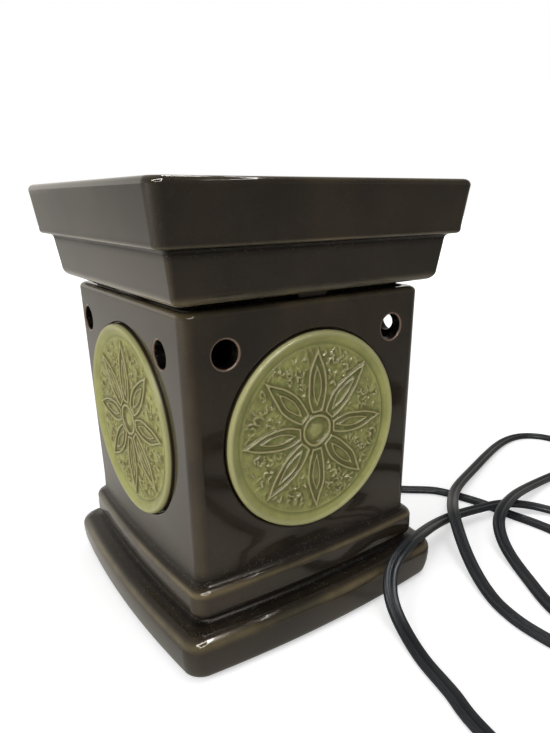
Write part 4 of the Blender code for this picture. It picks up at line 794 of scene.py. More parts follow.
def celadon_glaze():
    """Green gloss glaze, pale on raised lines, deep in the hollows and rusty on steep sides; dark on the
    disc's outer edge, partly brown glaze and partly painted shadow of the gap.
    """
    glaze = bpy.context.scene.warmer_glaze
    material, tree, shader = principled("glaze_celadon", IOR=1.5, Specular_IOR_Level=0.48)
    surface = use_group(tree, "Glaze surface", Wave_Scale=140.0, Peel_Scale=1500.0, Peel_Share=0.1)
    place = object_place(tree)
    cloud = spread(tree, noise(tree, place, 110.0, 4.0, 0.6), 0.32, 0.68)
    base = mix_colour(tree, cloud, colour([0.86 * value for value in glaze.celadon]),
                      colour([1.12 * value for value in glaze.celadon]))
    patches = spread(tree, noise(tree, place, 160.0, 4.0, 0.6), 0.26, 0.46)
    rust = times(tree, attribute(tree, "flank"), patches)
    # The last mark darkens the disc's outer edge: partly brown glaze, partly painted shadow of the gap round
    # the disc
    for mark, strength, shade in ((attribute(tree, "hollow"), 0.65, colour(glaze.celadon_pool)),
                                  (rust, 0.82, RUST_COLOUR),
                                  (attribute(tree, "crest"), 0.8, colour(glaze.celadon_pale)),
                                  (attribute(tree, "darkening"), 1.0, EDGE_GLAZE_AND_SHADOW_COLOUR)):
        base = mix_colour(tree, times(tree, mark, strength, clamp=True), base, shade)
    rough = linear(tree, surface["Patch"], slope=0.1, start=0.32)
    dress(tree, shader, base, rough, surface["Height"], 0.00007)
    return material


def moulded(name, shade, rough=(0.35, 0.5), scale=1400.0, depth=0.00002, dust=0.15):
    """Moulded plastic or rubber with a fine grain and a little dust."""
    material, tree, shader = principled(name)
    grain = use_group(tree, "Moulded grain", Scale=scale, Rough_Low=rough[0], Rough_High=rough[1])
    pale = [min(1.0, 1.6 * value + 0.02) for value in shade]
    base = mix_colour(tree, times(tree, grain["Dust"], dust), colour(shade), colour(pale))
    dress(tree, shader, base, grain["Roughness"], grain["Height"], depth)
    return material


def metal(name, shade, tarnish, rough=(0.2, 0.4)):
    """Worked metal with fine lines and a little tarnish."""
    material, tree, shader = principled(name, Metallic=1.0)
    work = use_group(tree, "Worked metal", Scale=300.0, Rough_Low=rough[0], Rough_High=rough[1])
    base = mix_colour(tree, times(tree, work["Tarnish"], 0.55), colour(shade), colour(tarnish))
    dress(tree, shader, base, work["Roughness"], work["Height"], 0.00001)
    return material


def lamp_glass():
    """Clear glass, a little uneven."""
    material, tree, shader = principled("lamp_glass", Transmission_Weight=1.0, IOR=1.47)
    grain = use_group(tree, "Moulded grain", Scale=60.0, Rough_Low=0.0, Rough_High=0.02)
    dress(tree, shader, WHITE, grain["Roughness"], grain["Height"], 0.00003)
    return material


def cord_jacket():
    """Charcoal jacket with fine lengthwise drawing marks, and ribs on one half of its section whose raised
    halves are painted paler as a painted sheen.
    """
    shade = bpy.context.scene.warmer_cord.colour
    material, tree, shader = principled("jacket_charcoal")
    along = node(tree, "ShaderNodeUVMap", uv_map="UVMap").outputs["UV"]
    lines = node(tree, "ShaderNodeMapping", {"Vector": along, "Scale": (2.0, 90.0, 1.0)})
    drawn = noise(tree, lines.outputs["Vector"], 6.0, 3.0, 0.5)
    grain = use_group(tree, "Moulded grain", Scale=900.0, Rough_Low=0.34, Rough_High=0.46)
    pale = colour([1.9 * value + 0.008 for value in shade])
    base = mix_colour(tree, times(tree, grain["Dust"], 0.22), colour(shade), pale)
    across = node(tree, "ShaderNodeSeparateXYZ", {"Vector": along}).outputs["Y"]
    ribs = maths(tree, "SINE", times(tree, across, 2.0 * math.pi * JACKET_RIBS))
    ribs = times(tree, ribs, maths(tree, "LESS_THAN", across, 0.5))
    # Painted sheen: the ribs' raised halves are mixed toward the pale dust colour
    base = mix_colour(tree, times(tree, ribs, 0.5, clamp=True), base, pale)
    height = linear(tree, drawn, slope=0.6, start=grain["Height"])
    height = linear(tree, ribs, slope=2.0, start=height)
    dress(tree, shader, base, grain["Roughness"], height, 0.00003)
    return material


def build_materials():
    """All finishes, by the name of their material slot or use."""
    surface_group()
    specks_group()
    grain_group()
    metal_group()
    return {
        "brown_glaze": brown_glaze(),
        "green_glaze": celadon_glaze(),
        "black_plastic": moulded("plastic_black", (0.018, 0.018, 0.019), (0.32, 0.45)),
        "black_rubber": moulded("rubber_black", (0.016, 0.016, 0.016), (0.55, 0.7), 1100.0, 0.00004, 0.3),
        "steel": metal("zinc_steel", (0.62, 0.62, 0.60), (0.40, 0.38, 0.34)),
        "phenolic": moulded("phenolic_brown", (0.022, 0.013, 0.009), (0.22, 0.34), 500.0),
        "red_fibre": moulded("fibre_red", (0.27, 0.055, 0.03), (0.6, 0.75), 700.0, 0.00004, 0.2),
        "brass": metal("rolled_brass", (0.72, 0.52, 0.24), (0.38, 0.25, 0.12), (0.22, 0.36)),
        "bulb_glass": lamp_glass(),
        "black_glass": moulded("vitrite_black", (0.008, 0.008, 0.009), (0.06, 0.12), 300.0),
        "tungsten": metal("drawn_tungsten", (0.30, 0.29, 0.28), (0.16, 0.15, 0.15), (0.35, 0.5)),
        "cord_jacket": cord_jacket(),
        "lead_black": moulded("lead_black", (0.015, 0.015, 0.016)),
        "lead_white": moulded("lead_white", (0.62, 0.61, 0.57), dust=0.0),
        "bulb_shell": metal("bulb_aluminium", (0.80, 0.80, 0.78), (0.58, 0.57, 0.54), (0.18, 0.3)),
        "blade": metal("plated_blade", (0.78, 0.70, 0.50), (0.55, 0.46, 0.30), (0.16, 0.28)),
    }


MATERIALS = {}


def finish(name):
    """A finish by name, made on first use."""
    if not MATERIALS:
        MATERIALS.update(build_materials())
    return MATERIALS[name]


# Body and dish


def shoulder(sweep):
    """Marks of a rounded shoulder: thinnest near 30 degrees, pooled toward its end."""
    return lambda share: (math.exp(-((sweep * share - 30.0) / 17.0) ** 2),
                          0.45 * max(0.0, share - 0.6) / 0.4)


def outline_body(settings):
    """Outer and inner outline of the body as (half width, height, (thin, pool))."""
    plinth = settings.plinth_half / MM
    roll = settings.roll_half / MM
    lip = settings.lip_round / MM
    line = []
    add = partial(add_marked, line)
    add(arc((plinth - 2.4, BODY_BOTTOM + 5.0), (1.8, 5.0), -90.0, -30.0, 5))
    add([(plinth - 0.35, 6.6), (plinth, 10.4), (plinth, 12.4)])
    add_graded(line, arc((plinth - 4.4, 12.6), (4.4, 4.6), 0.0, 82.0, 12), shoulder(82.0))
    add([(plinth - 5.6, 17.35)], 0.1, 0.5)
    add([(51.9, 17.75)], 0.0, 0.9)
    add(arc((51.9, 19.35), (1.5, 1.45), -110.0, -180.0, 5), 0.0, 1.0)
    add([(50.45, 20.1)], 0.0, 0.95)
    add(arc((roll - 1.4, 22.2), (1.4, 1.9), -78.0, 0.0, 6), 0.0, 0.2)
    add([(roll, 24.6), (roll - 0.02, 27.2)])
    add_graded(line, arc((roll - 2.5, 27.8), (2.5, 3.1), 0.0, 80.0, 10), shoulder(80.0))
    add([(COLUMN_BOTTOM_HALF + 0.32, 31.3)], 0.0, 0.75)
    add([(COLUMN_BOTTOM_HALF + 0.04, 32.3)], 0.0, 1.0)
    add([(COLUMN_BOTTOM_HALF, COLUMN_BOTTOM)], 0.0, 0.7)
    add([(column_half_at(36.0), 36.0)], 0.0, 0.15)
    add([(column_half_at(z), z) for z in (38.5, 41.0, 44.0, 119.0)])
    add_graded(line, arc((COLUMN_TOP_HALF - lip, COLUMN_TOP - lip), (lip, lip), 0.0, 90.0, 8),
               broken(0.5, 0.1))
    add(arc((INNER_TOP_HALF + 1.4, COLUMN_TOP - 1.4), (1.4, 1.4), 90.0, 180.0, 5), 0.3)
    add([(INNER_TOP_HALF - 0.2, 118.0)], 0.0, 0.1)
    add(arc((INNER_BOTTOM_HALF - 3.0, 27.0), (3.0, 3.0), 0.0, -90.0, 5), 0.0, 0.6)
    return line


def outline_sections(line):
    """Ring sections of a body outline; the sides bow outward on the base and at the column's foot."""
    heights = (17.4, 17.8, 31.0, COLUMN_BOTTOM, 36.0, 38.5, 41.0)
    bows = (PLINTH_BOW, ROLL_BOW, ROLL_BOW, COLUMN_BOW, 0.55 * COLUMN_BOW, 0.2 * COLUMN_BOW, 0.0)
    sections = []
    for half, z, marks in line:
        bow = float(np.interp(z, heights, bows)) if half > INNER_TOP_HALF + 2.0 else 0.0
        sections.append((half, half, corner_at(half), z, marks, bow))
    return sections


def flared(radius, soft):
    """A cutter's profile whose rounded mouth starts just above the wall."""
    sink = 0.02
    points = [(0.0, 0.4), (radius + soft + 0.9, 0.4), (radius + soft, -sink)]
    for angle in (22.5, 45.0, 67.5, 90.0):
        turn = math.radians(angle)
        points.append((radius + soft * (1.0 - math.sin(turn)), -sink - soft * (1.0 - math.cos(turn))))
    return points


def mark_bare(item, places, reach):
    """Mark the rims of the vents at some places as bare, and their insides as dark, in millimetres."""
    mesh = item.data
    points = read_values(mesh.vertices, "co", 3) / MM
    dark = read_values(mesh.attributes["pool"].data, "value")
    bare = np.zeros(len(points))
    for matrix in places:
        outward = np.array(matrix.to_3x3().col[2].normalized())
        away = points - np.array(matrix.translation / MM)
        along = away @ outward
        across = np.linalg.norm(away - along[:, None] * outward, axis=1)
        edge = VENT_RADIUS + 0.1 * reach
        mouth = (across > edge) & (across < VENT_RADIUS + 0.8 * reach)
        bare[mouth & (np.abs(along) < 1.5)] = 1.0
        dark[(across < edge) & (np.abs(along) < COLUMN_WALL + 1.0)] = 1.0
    mesh.attributes.new("bare", "FLOAT", "POINT").data.foreach_set("value", bare)
    mesh.attributes["pool"].data.foreach_set("value", dark)


def darken(item, test):
    """Give the points that pass a test the glaze's dark, pooled colour."""
    pool = item.data.attributes["pool"].data
    for vert in item.data.vertices:
        if test(vert.co):
            pool[vert.index].value = 1.0


def medallion_matrix(face):
    """Place of the medallion on a face; the left one sits a little off centre."""
    shift = LEFT_MEDALLION_SHIFT if face == "left" else 0.0
    return face_matrix(face, column_half_at(MEDALLION_HEIGHT), MEDALLION_HEIGHT, -shift)


def vent_places():
    """Place of each vent hole on the column's outside; the left face's sit off centre, one lower."""
    places = []
    for face in FACES:
        left = face == "left"
        for side in (1, -1):
            z = VENT_HEIGHT - (LEFT_VENT_SAG if left and side > 0 else 0.0)
            along = side * VENT_OFFSET - (LEFT_VENT_SHIFT if left else 0.0)
            places.append(face_matrix(face, column_half_at(z), z, along))
    return places


class OBJECT_OT_warmer_body(bpy.types.Operator):
    """Model the glazed ceramic body with its base steps, vents and recesses"""

    bl_idname = "object.warmer_body"
    bl_label = "Body"

    def execute(self, context):
        settings = context.scene.warmer_body
        sections = outline_sections(outline_body(settings))
        # The round-cornered hole through the cast floor
        for half, corner, z in ((30.9, 20.6, 24.0), (30.2, 20.2, 23.7), (30.0, 20.0, 23.0),
                                (30.0, 20.0, 20.0), (30.4, 20.3, 19.2), (31.2, 20.8, 19.0)):
            sections.append((half, half, corner, z, (0.0, 0.3)))
        # The hollow under the floor and the base plate's seat
        for half, z in ((44.6, 19.0), (45.7, 18.6), (46.0, 17.6), (46.0, 6.0), (51.6, 6.0),
                        (51.6, 2.0), (51.9, 1.6)):
            sections.append((half, half, corner_at(half), z, (0.3, 0.0)))
        body = ring_stack("body", sections, settings.corner_steps, SIDE_POINTS, endless=True)

        soft = settings.vent_round / MM
        depth = COLUMN_WALL + 0.25
        vents = vent_places()
        profile = flared(VENT_RADIUS, soft) + [(VENT_RADIUS, -depth + 0.6),
                                               (VENT_RADIUS + 0.8, -depth - 0.2), (0.0, -depth - 0.2)]
        punch_all(body, spun("vent_punch", profile, 40), vents)

        well = MEDALLION_RADIUS + 0.3
        profile = flared(well, 1.0) + [(well, -MEDALLION_RECESS), (0.0, -MEDALLION_RECESS)]
        punch_all(body, spun("recess_punch", profile, 128), [medallion_matrix(face) for face in FACES])

        wide = OUTLET_RADIUS + 0.3
        profile = flared(wide, 0.6) + [(wide, -19.0), (0.0, -19.0)]
        outlet = face_matrix("back", PLINTH_HALF + PLINTH_BOW, OUTLET_HEIGHT, tilt=0.0)
        punch_all(body, spun("outlet_punch", profile, 32), [outlet])

        mark_bare(body, vents, soft)
        finish_piece(body, "body_glazed", "brown_glaze", "body_shell", smooth=38.0, weighted=True)
        return {"FINISHED"}


class OBJECT_OT_warmer_dish(bpy.types.Operator):
    """Model the lift-off wax dish with its rim, well and collar"""

    bl_idname = "object.warmer_dish"
    bl_label = "Dish"

    def execute(self, context):
        settings = context.scene.warmer_body
        rim = settings.rim_round / MM
        collar = INNER_TOP_HALF - 1.4
        line = []
        add = partial(add_marked, line)
        # The collar that drops into the column, and the underside
        add([(22.0, DISH_BOTTOM + 0.2), (collar - 4.2, DISH_BOTTOM + 0.2)])
        add(arc((collar - 4.2, DISH_BOTTOM - 0.8), (1.0, 1.0), 90.0, 0.0, 3), 0.0, 0.3)
        add(arc((collar - 1.6, DISH_BOTTOM - 5.8), (1.2, 1.2), 180.0, 360.0, 8), 0.3)
        add([(collar - 0.05, DISH_BOTTOM - 1.0), (collar + 0.3, DISH_BOTTOM - 0.2)], 0.0, 0.3)
        add([(collar + 1.0, DISH_BOTTOM), (51.0, DISH_BOTTOM + 0.02)], 0.0, 0.1)
        # The two tiers' outsides
        add_graded(line, arc((51.6, DISH_BOTTOM + 3.7), (3.6, 3.7), -88.0, 0.0, 9), broken(0.95))
        add([(55.5, 135.4), (56.6, 143.0)])
        add([(56.8, 144.6)], 0.0, 0.55)
        add(arc((58.9, 144.9), (2.0, 1.7), 180.0, 100.0, 6), 0.0, 1.0)
        add([(60.1, 146.75)], 0.5)
        add_graded(line, arc((60.35, 148.1), (1.15, 1.3), -85.0, 0.0, 6), broken(0.9))
        add([(61.6, 149.6), (63.1, 161.0)])
        # The rim, and the inside down to the middle
        add_graded(line, arc((RIM_HALF - rim, DISH_TOP - rim), (rim, rim), 0.0, 90.0, 9),
                   lambda share: (share ** 2, 0.0))
        add([(61.0, DISH_TOP)], 1.0)
        add_graded(line, arc((59.6, DISH_TOP - 2.2), (1.1, 2.2), 90.0, 180.0, 7),
                   lambda share: (0.95 - 0.8 * share, 0.0))
        add([(56.7, 151.6)])
        add(arc((54.0, 151.6), (2.6, 4.4), -8.0, -62.0, 4), 0.0, 0.35)
        add([(52.4, 144.6), (51.4, 143.2), (47.9, 139.2)], 0.15)
        add([(46.2, 137.5), (44.0, 135.8), (41.6, 134.7)], 0.0, 0.35)
        add([(38.0, 134.3), (20.0, DISH_BOTTOM + 4.8)], 0.0, 0.12)
        sections = [(half, half, max(1.6, 4.4 + 0.35 * (half - RIM_HALF)), z, marks)
                    for half, z, marks in line]
        dish = ring_stack("dish", sections, settings.corner_steps)
        # The pads that keep the dish off the body's lip
        lip = 0.5 * (COLUMN_TOP_HALF - 2.2 + INNER_TOP_HALF + 1.4)
        for face in FACES:
            pad = slab((12.0, 3.0, 1.8), soft=0.5, segments=2)
            combine(dish, settle(pad, face_matrix(face, lip, COLUMN_TOP + 0.3 + 1.5)), "UNION")
        darken(dish, lambda place: place.z < (DISH_BOTTOM - 0.1) * MM)
        finish_piece(dish, "dish_glazed", "brown_glaze", "wax_dish", body="dish", smooth=38.0, weighted=True)
        return {"FINISHED"}


# Medallions


# The field's height above the column's face, and its radius
FIELD_PROUD = 0.6
FIELD_EDGE = 32.2

# Scrolls between the petals: radius of the place, turn off the sector's middle, size, sweep, start
SCROLLS = ((26.0, -4.5, 2.3, 250.0, 0.4), (25.2, 6.0, 1.8, 230.0, 2.6), (21.6, 1.0, 1.7, 240.0, 4.4),
           (28.9, 2.5, 1.2, 200.0, 1.2), (22.4, -8.0, 1.3, 170.0, 5.2), (17.8, -0.5, 1.2, 210.0, 3.3),
           (28.6, -10.5, 1.3, 190.0, 0.9), (28.2, 12.0, 1.2, 180.0, 3.9), (23.0, 9.0, 0.8, 240.0, 2.0))
SCROLL_THICKNESS = 0.6

# What the hand adds to the relief: winding lines, uneven ground and bent lines, in millimetres
WINDING_RISE = 0.8
WINDING_WIDTH = 0.2
UNEVEN_RISE = 0.12
BEND = 0.55


def relief_profile():
    """Profile of the medallion's disc as (radius, height) above the column's face."""
    line = [(0.0, 1.5), (0.7, 1.42), (1.6, 1.3), (2.5, 1.0), (3.2, 0.5), (3.8, 0.35)]
    line += [(4.6, 0.4), (5.0, 0.7), (5.3, 1.4), (5.75, 1.6), (6.2, 1.4), (6.6, FIELD_PROUD)]
    line += [(31.3, FIELD_PROUD), (31.6, 0.85), (31.9, 0.9), (32.2, 0.6), (32.5, 0.55)]
    line += [(33.6, 0.95), (34.8, 1.55), (35.3, 1.95), (35.8, 2.25), (36.3, 2.25), (36.8, 1.85)]
    line += [(37.1, 1.2), (37.2, 0.4), (37.2, -1.6), (36.9, -1.7), (0.0, -1.7)]
    return line


def petal_half(share, width):
    """Half a petal's width at a share of the way from its tip to its neck."""
    return 0.5 * width * math.sin(2.56 * share ** 1.057)


def edge_points(inner, outer, half_at, steps, pointed):
    """An outline along local Y from its half width at each share of the way from its tip."""
    side = []
    for step in range(steps + 1):
        share = step / steps
        side.append((half_at(share), outer + share * (inner - outer)))
    back = side[1:-1] if pointed else side[1:]
    return side + [(-x, y) for x, y in reversed(back)]


def ridged(name, edge, base, rise, ridge, hollow):
    """A flat piece with a raised line along its edge, sizes in millimetres."""
    start_clean()
    bpy.ops.mesh.primitive_circle_add(vertices=len(edge), radius=MM, fill_type="NGON")
    item = bpy.context.active_object
    item.name = name
    bpy.ops.object.mode_set(mode="EDIT")
    shape = bmesh.from_edit_mesh(item.data)
    shape.verts.ensure_lookup_table()
    for vert, (x, y) in zip(shape.verts, edge):
        vert.co = (x * MM, y * MM, base * MM)
    bmesh.update_edit_mesh(item.data)
    bpy.ops.mesh.select_all(action="SELECT")
    bpy.ops.mesh.extrude_region_move(TRANSFORM_OT_translate={"value": (0.0, 0.0, 0.4 * rise * MM)})
    for inset, climb in ((0.25, 0.6 * rise), (ridge, 0.0), (0.28, hollow - base - rise)):
        bpy.ops.mesh.inset(thickness=inset * MM, depth=0.0, use_even_offset=True)
        bpy.ops.transform.translate(value=(0.0, 0.0, climb * MM))
    edit(item)
    choose(item, lambda vert: abs(vert.co.z - base * MM) < 1e-6)
    bpy.ops.mesh.edge_face_add()
    turn_outward(item)
    return item


def petal(inner, outer, width):
    """One petal: a raised outline round a hollow that holds a smaller leaf."""
    low = FIELD_PROUD - 0.4
    length = outer - inner
    slim = 0.5 * width
    edge = edge_points(inner, outer, lambda share: petal_half(share, width), 16, pointed=False)
    outline = ridged("petal", edge, low, 1.4, 0.6, FIELD_PROUD - 0.05)
    edge = edge_points(inner + 0.08 * length, inner + 0.72 * length,
                       lambda share: 0.5 * slim * math.sin(math.pi * share) ** 0.9, 12, pointed=True)
    leaf = ridged("leaf", edge, low, 1.2, 0.42, FIELD_PROUD + 0.1)
    return joined([outline, leaf], "petal")


def curl(radius, thickness, sweep, start, base):
    """A scroll: a small ring turned through an arc that tightens, lying on the field."""
    start_clean()
    bpy.ops.mesh.primitive_circle_add(vertices=8, radius=thickness * MM, fill_type="NGON",
                                      rotation=(math.radians(90.0), 0.0, 0.0))
    item = bpy.context.active_object
    bpy.ops.object.transform_apply(location=True, rotation=True, scale=True)
    bpy.ops.object.mode_set(mode="EDIT")
    bpy.ops.mesh.select_all(action="SELECT")
    bpy.ops.transform.translate(value=(radius * MM, 0.0, 0.0))
    steps = max(6, int(sweep / 24.0))
    bpy.ops.mesh.spin(steps=steps, angle=math.radians(sweep), center=(0.0, 0.0, 0.0),
                      axis=(0.0, 0.0, 1.0), use_auto_merge=False)
    bpy.ops.mesh.select_all(action="SELECT")
    bpy.ops.mesh.remove_doubles(threshold=MERGE)
    shape = bmesh.from_edit_mesh(item.data)
    whole = math.radians(sweep)
    for vert in shape.verts:
        angle = math.atan2(vert.co.y, vert.co.x) % (2.0 * math.pi)
        tight = 1.0 - 0.55 * min(1.0, angle / whole)
        slim = 0.75 + 0.25 * tight
        offset = math.hypot(vert.co.x, vert.co.y) - radius * MM
        reach = radius * tight * MM + offset * slim
        spot = start + angle
        vert.co = (reach * math.cos(spot), reach * math.sin(spot), vert.co.z * slim + base * MM)
    bmesh.update_edit_mesh(item.data)
    turn_outward(item)
    return item


def build_relief(settings):
    """The relief disc with petals, ring and scrolls, melted into one glazed surface."""
    pieces = [spun("medallion", relief_profile(), 128)]
    first = petal(settings.petal_inner / MM, settings.petal_outer / MM, settings.petal_width / MM)
    count = settings.petals
    for index in range(count):
        pieces.append(settle(duplicate(first, "petal_copy"), turned(360.0 * index / count, "Z")))
    bpy.data.objects.remove(first)
    half = math.pi / count
    for index in range(count):
        for number, (place, aside, size, sweep, start) in enumerate(SCROLLS):
            drift = math.sin(2.3 * index + 1.7 * number)
            angle = 2.0 * half * index + half + math.radians(aside + 1.6 * drift)
            reach = place + 0.5 * math.cos(3.1 * index + number)
            scroll = curl(size * (1.0 + 0.15 * drift), SCROLL_THICKNESS, sweep + 45.0 * drift,
                          start + 0.8 * index, FIELD_PROUD + 0.16)
            pieces.append(settle(scroll, moved(reach * math.sin(angle), reach * math.cos(angle))))
    relief = joined(pieces, "medallion")
    apply_modifier(relief, "REMESH", mode="VOXEL", voxel_size=settings.grain, adaptivity=0.0,
                   use_smooth_shade=True)
    apply_modifier(relief, "SMOOTH", factor=0.5, iterations=3)
    roughen(relief, settings)
    edit(relief)
    choose(relief, lambda face: face.normal.z < -0.95, "FACE")
    bpy.ops.mesh.dissolve_faces()
    bpy.ops.object.mode_set(mode="OBJECT")
    mark_relief(relief)
    return relief


def field_noise(x, y, scale, layer, kind=solid_noise.noise):
    """Noise over the medallion's field; each layer is a pattern of its own."""
    return kind(Vector((scale * x, scale * y, layer)))


def roughen(item, settings):
    """Bend the lines a little and raise winding ones between the petals."""
    inner = settings.petal_inner / MM
    outer = settings.petal_outer / MM
    width = settings.petal_width / MM
    sector = 2.0 * math.pi / settings.petals
    for vertex in item.data.vertices:
        x, y, z = vertex.co / MM
        reach = math.hypot(x, y)
        inside = limited((FIELD_EDGE - reach) / 1.5)
        if z < 0.0 or inside == 0.0:
            continue
        turn = (math.atan2(x, y) + 0.5 * sector) % sector - 0.5 * sector
        edge = petal_half(limited((outer - reach) / (outer - inner)), width)
        between = limited((abs(turn) * reach - edge - 0.4) / 0.8)
        winding = max(0.0, 1.0 - abs(field_noise(x, y, 0.4, 3.7)) / WINDING_WIDTH)
        patch = limited(0.55 + 1.6 * field_noise(x, y, 0.16, 9.1))
        uneven = field_noise(x, y, 0.55, 6.2)
        bend = field_noise(x, y, 0.13, 1.3, solid_noise.noise_vector)
        vertex.co.z += inside * (WINDING_RISE * winding * patch * between + UNEVEN_RISE * uneven) * MM
        vertex.co.x += BEND * inside * bend.x * MM
        vertex.co.y += BEND * inside * bend.y * MM
    item.data.update()


def mark_relief(item):
    """Mark crests, hollows and steep sides by comparing each point with its neighbourhood; darken the disc's
    outer edge, partly as brown glaze and partly as painted shadow.
    """
    mesh = item.data
    count = len(mesh.vertices)
    places = read_values(mesh.vertices, "co", 3) / MM
    edges = read_values(mesh.edges, "vertices", 2, np.int64)
    links = np.maximum(np.bincount(edges.ravel(), minlength=count).astype(float), 1.0)
    clipped = partial(np.clip, a_min=0.0, a_max=1.0)

    def softened(values, rounds):
        for _ in range(rounds):
            total = np.bincount(edges[:, 0], values[edges[:, 1]], count)
            total += np.bincount(edges[:, 1], values[edges[:, 0]], count)
            values = 0.3 * values + 0.7 * total / links
        return values

    upward = read_values(mesh.vertices, "normal", 3)[:, 2]
    height = places[:, 2]
    rise = softened(height, 2) - softened(height, 40)
    radius = np.hypot(places[:, 0], places[:, 1])
    inside = radius < 33.0
    front = height > -0.6
    # The raised rim, the groove inside it and the disc's outer edge have marks of their own
    rim = clipped((radius - 34.6) / 0.9)
    groove = np.exp(-((radius - 32.6) / 0.7) ** 2)
    crest = np.maximum(clipped((rise - 0.06) / 0.25) * inside, 0.9 * rim)
    hollow = clipped(np.maximum(clipped((-rise - 0.03) / 0.2) * inside, 0.6 * groove))
    flank = softened(clipped((0.93 - upward) / 0.2), 1)
    # The disc's outer edge is darkened, partly as brown glaze run over it and partly as painted shadow of the
    # gap round the disc
    darkening = clipped((radius - 36.9) / 0.2) * clipped((0.9 - height) / 0.5)
    for name, values in (("crest", crest * front), ("hollow", hollow * front),
                         ("flank", flank * inside * front), ("darkening", darkening)):
        layer = mesh.attributes.new(name, "FLOAT", "POINT")
        layer.data.foreach_set("value", values)


class OBJECT_OT_warmer_medallions(bpy.types.Operator):
    """Model the relief medallion and set one into each face"""

    bl_idname = "object.warmer_medallions"
    bl_label = "Medallions"

    def execute(self, context):
        relief = build_relief(context.scene.warmer_medallion)
        for face in FACES:
            item = settle(duplicate(relief, "relief_" + face), medallion_matrix(face))
            finish_piece(item, "relief_" + face, "green_glaze", "medallion_" + face, smooth=75.0)
        bpy.data.objects.remove(relief)
        return {"FINISHED"}


# Cord


def run_lengths(points):
    """How far along a line each of its points is."""
    return np.concatenate(([0.0], np.cumsum(np.linalg.norm(np.diff(points, axis=0), axis=1))))


def smooth_line(knots, count):
    """Evenly spaced points on a natural cubic curve through the knots."""
    knots = np.asarray(knots, float)
    spans = np.linalg.norm(np.diff(knots, axis=0), axis=1) ** 0.5
    last = len(knots) - 1
    system = np.identity(last + 1)
    wanted = np.zeros(knots.shape)
    for i in range(1, last):
        before, after = spans[i - 1], spans[i]
        system[i, i - 1:i + 2] = before, 2.0 * (before + after), after
        wanted[i] = 6.0 * ((knots[i + 1] - knots[i]) / after - (knots[i] - knots[i - 1]) / before)
    bend = np.linalg.solve(system, wanted)
    dense = []
    for i in range(last):
        for share in np.linspace(0.0, 1.0, 24, endpoint=False):
            left = 1.0 - share
            straight = left * knots[i] + share * knots[i + 1]
            curved = (left ** 3 - left) * bend[i] + (share ** 3 - share) * bend[i + 1]
            dense.append(straight + curved * spans[i] ** 2 / 6.0)
    dense = np.array(dense + [knots[-1]])
    length = run_lengths(dense)
    spots = np.linspace(0.0, length[-1], count)
    return np.stack([np.interp(spots, length, column) for column in dense.T], axis=1)


def coil_points():
    """The coil's two layers, spiralling in on the lower and out again on the upper."""
    count = round(COIL_TURNS * COIL_STEPS)
    half_turns = 0.5 * COIL_TURNS
    points = []
    for step in range(count + 1):
        turn = COIL_TURNS * step / count
        angle = math.pi + 2.0 * math.pi * turn
        inward = turn if turn < half_turns else COIL_TURNS - turn
        radius = COIL_RADIUS - COIL_PITCH * inward
        climb = limited((turn - half_turns + 0.25) / 0.5)
        points.append((COIL_MIDDLE[0] + radius * math.cos(angle), COIL_MIDDLE[1] + radius * math.sin(angle),
                       TUBE_RADIUS + COIL_LAYER * climb))
    straight = 2.0 * TUBE_RADIUS
    first = (points[0][0], points[0][1] + straight, points[0][2])
    last = (points[-1][0] + straight, points[-1][1], points[-1][2])
    return [first] + points + [last]


def cord_line():
    """The cord from the bush through its loops and coil to the switch."""
    knots = [(0.0, NOSE_END + along, OUTLET_HEIGHT) for along in (-BUSH_DEPTH, CORD_GAP, CORD_STRAIGHT)]
    knots += CORD_ROUTE
    coil = coil_points()
    x, y, z = coil[0]
    knots += [(x, y + CORD_STRAIGHT, z), (x, y + CORD_GAP, z)]
    run = smooth_line(knots, 620)
    run[:, 2] = np.maximum(run[:, 2], TUBE_RADIUS)
    x, y, z = coil[-1]
    tail = smooth_line([(x, y, z), (x + CORD_STRAIGHT, y, z), (SWITCH_START - CORD_STRAIGHT, y, SWITCH_AXIS),
                        (SWITCH_START + SWITCH_DEPTH, y, SWITCH_AXIS)], 40)
    return np.concatenate((run, smooth_line(coil, 260)[1:], tail[1:]))


def lead_line():
    """The short cord from the switch to the plug."""
    start = SWITCH_START + SWITCH_LENGTH
    knots = [(start + along, SWITCH_LINE_Y, SWITCH_AXIS)
             for along in (-SWITCH_DEPTH, CORD_GAP, CORD_STRAIGHT)]
    knots += PLUG_LEAD_ROUTE
    knots += [(PLUG_START + along, PLUG_LINE_Y, PLUG_HALF_HEIGHT) for along in (-CORD_STRAIGHT, PLUG_DEPTH)]
    return smooth_line(knots, 70)


def twin_section(half_core, apart):
    """The outline of two round cores side by side, as (across, up) points."""
    section = []
    for side, start in ((1, -150.0), (-1, 30.0)):
        for step in range(13):
            angle = math.radians(start + 300.0 * step / 12.0)
            section.append((side * apart + half_core * math.cos(angle), half_core * math.sin(angle)))
    return section


def swept(name, rows, lengths):
    """A closed mesh through rows of points, mapped by ten times its length and by its way round."""
    shape = bmesh.new()
    rings = [[shape.verts.new(point) for point in row] for row in rows]
    shape.faces.new(rings[0])
    shape.faces.new(list(reversed(rings[-1])))
    around = len(rings[0])
    uv = shape.loops.layers.uv.new("UVMap")
    for i in range(len(rings) - 1):
        for j in range(around):
            k = (j + 1) % around
            face = shape.faces.new((rings[i][j], rings[i + 1][j], rings[i + 1][k], rings[i][k]))
            corners = ((i, j), (i + 1, j), (i + 1, j + 1), (i, j + 1))
            for loop, (row, column) in zip(face.loops, corners):
                loop[uv].uv = (lengths[row] * 10.0, column / around)
    bmesh.ops.recalc_face_normals(shape, faces=shape.faces)
    mesh = bpy.data.meshes.new(name)
    shape.to_mesh(mesh)
    shape.free()
    item = bpy.data.objects.new(name, mesh)
    bpy.context.collection.objects.link(item)
    return item


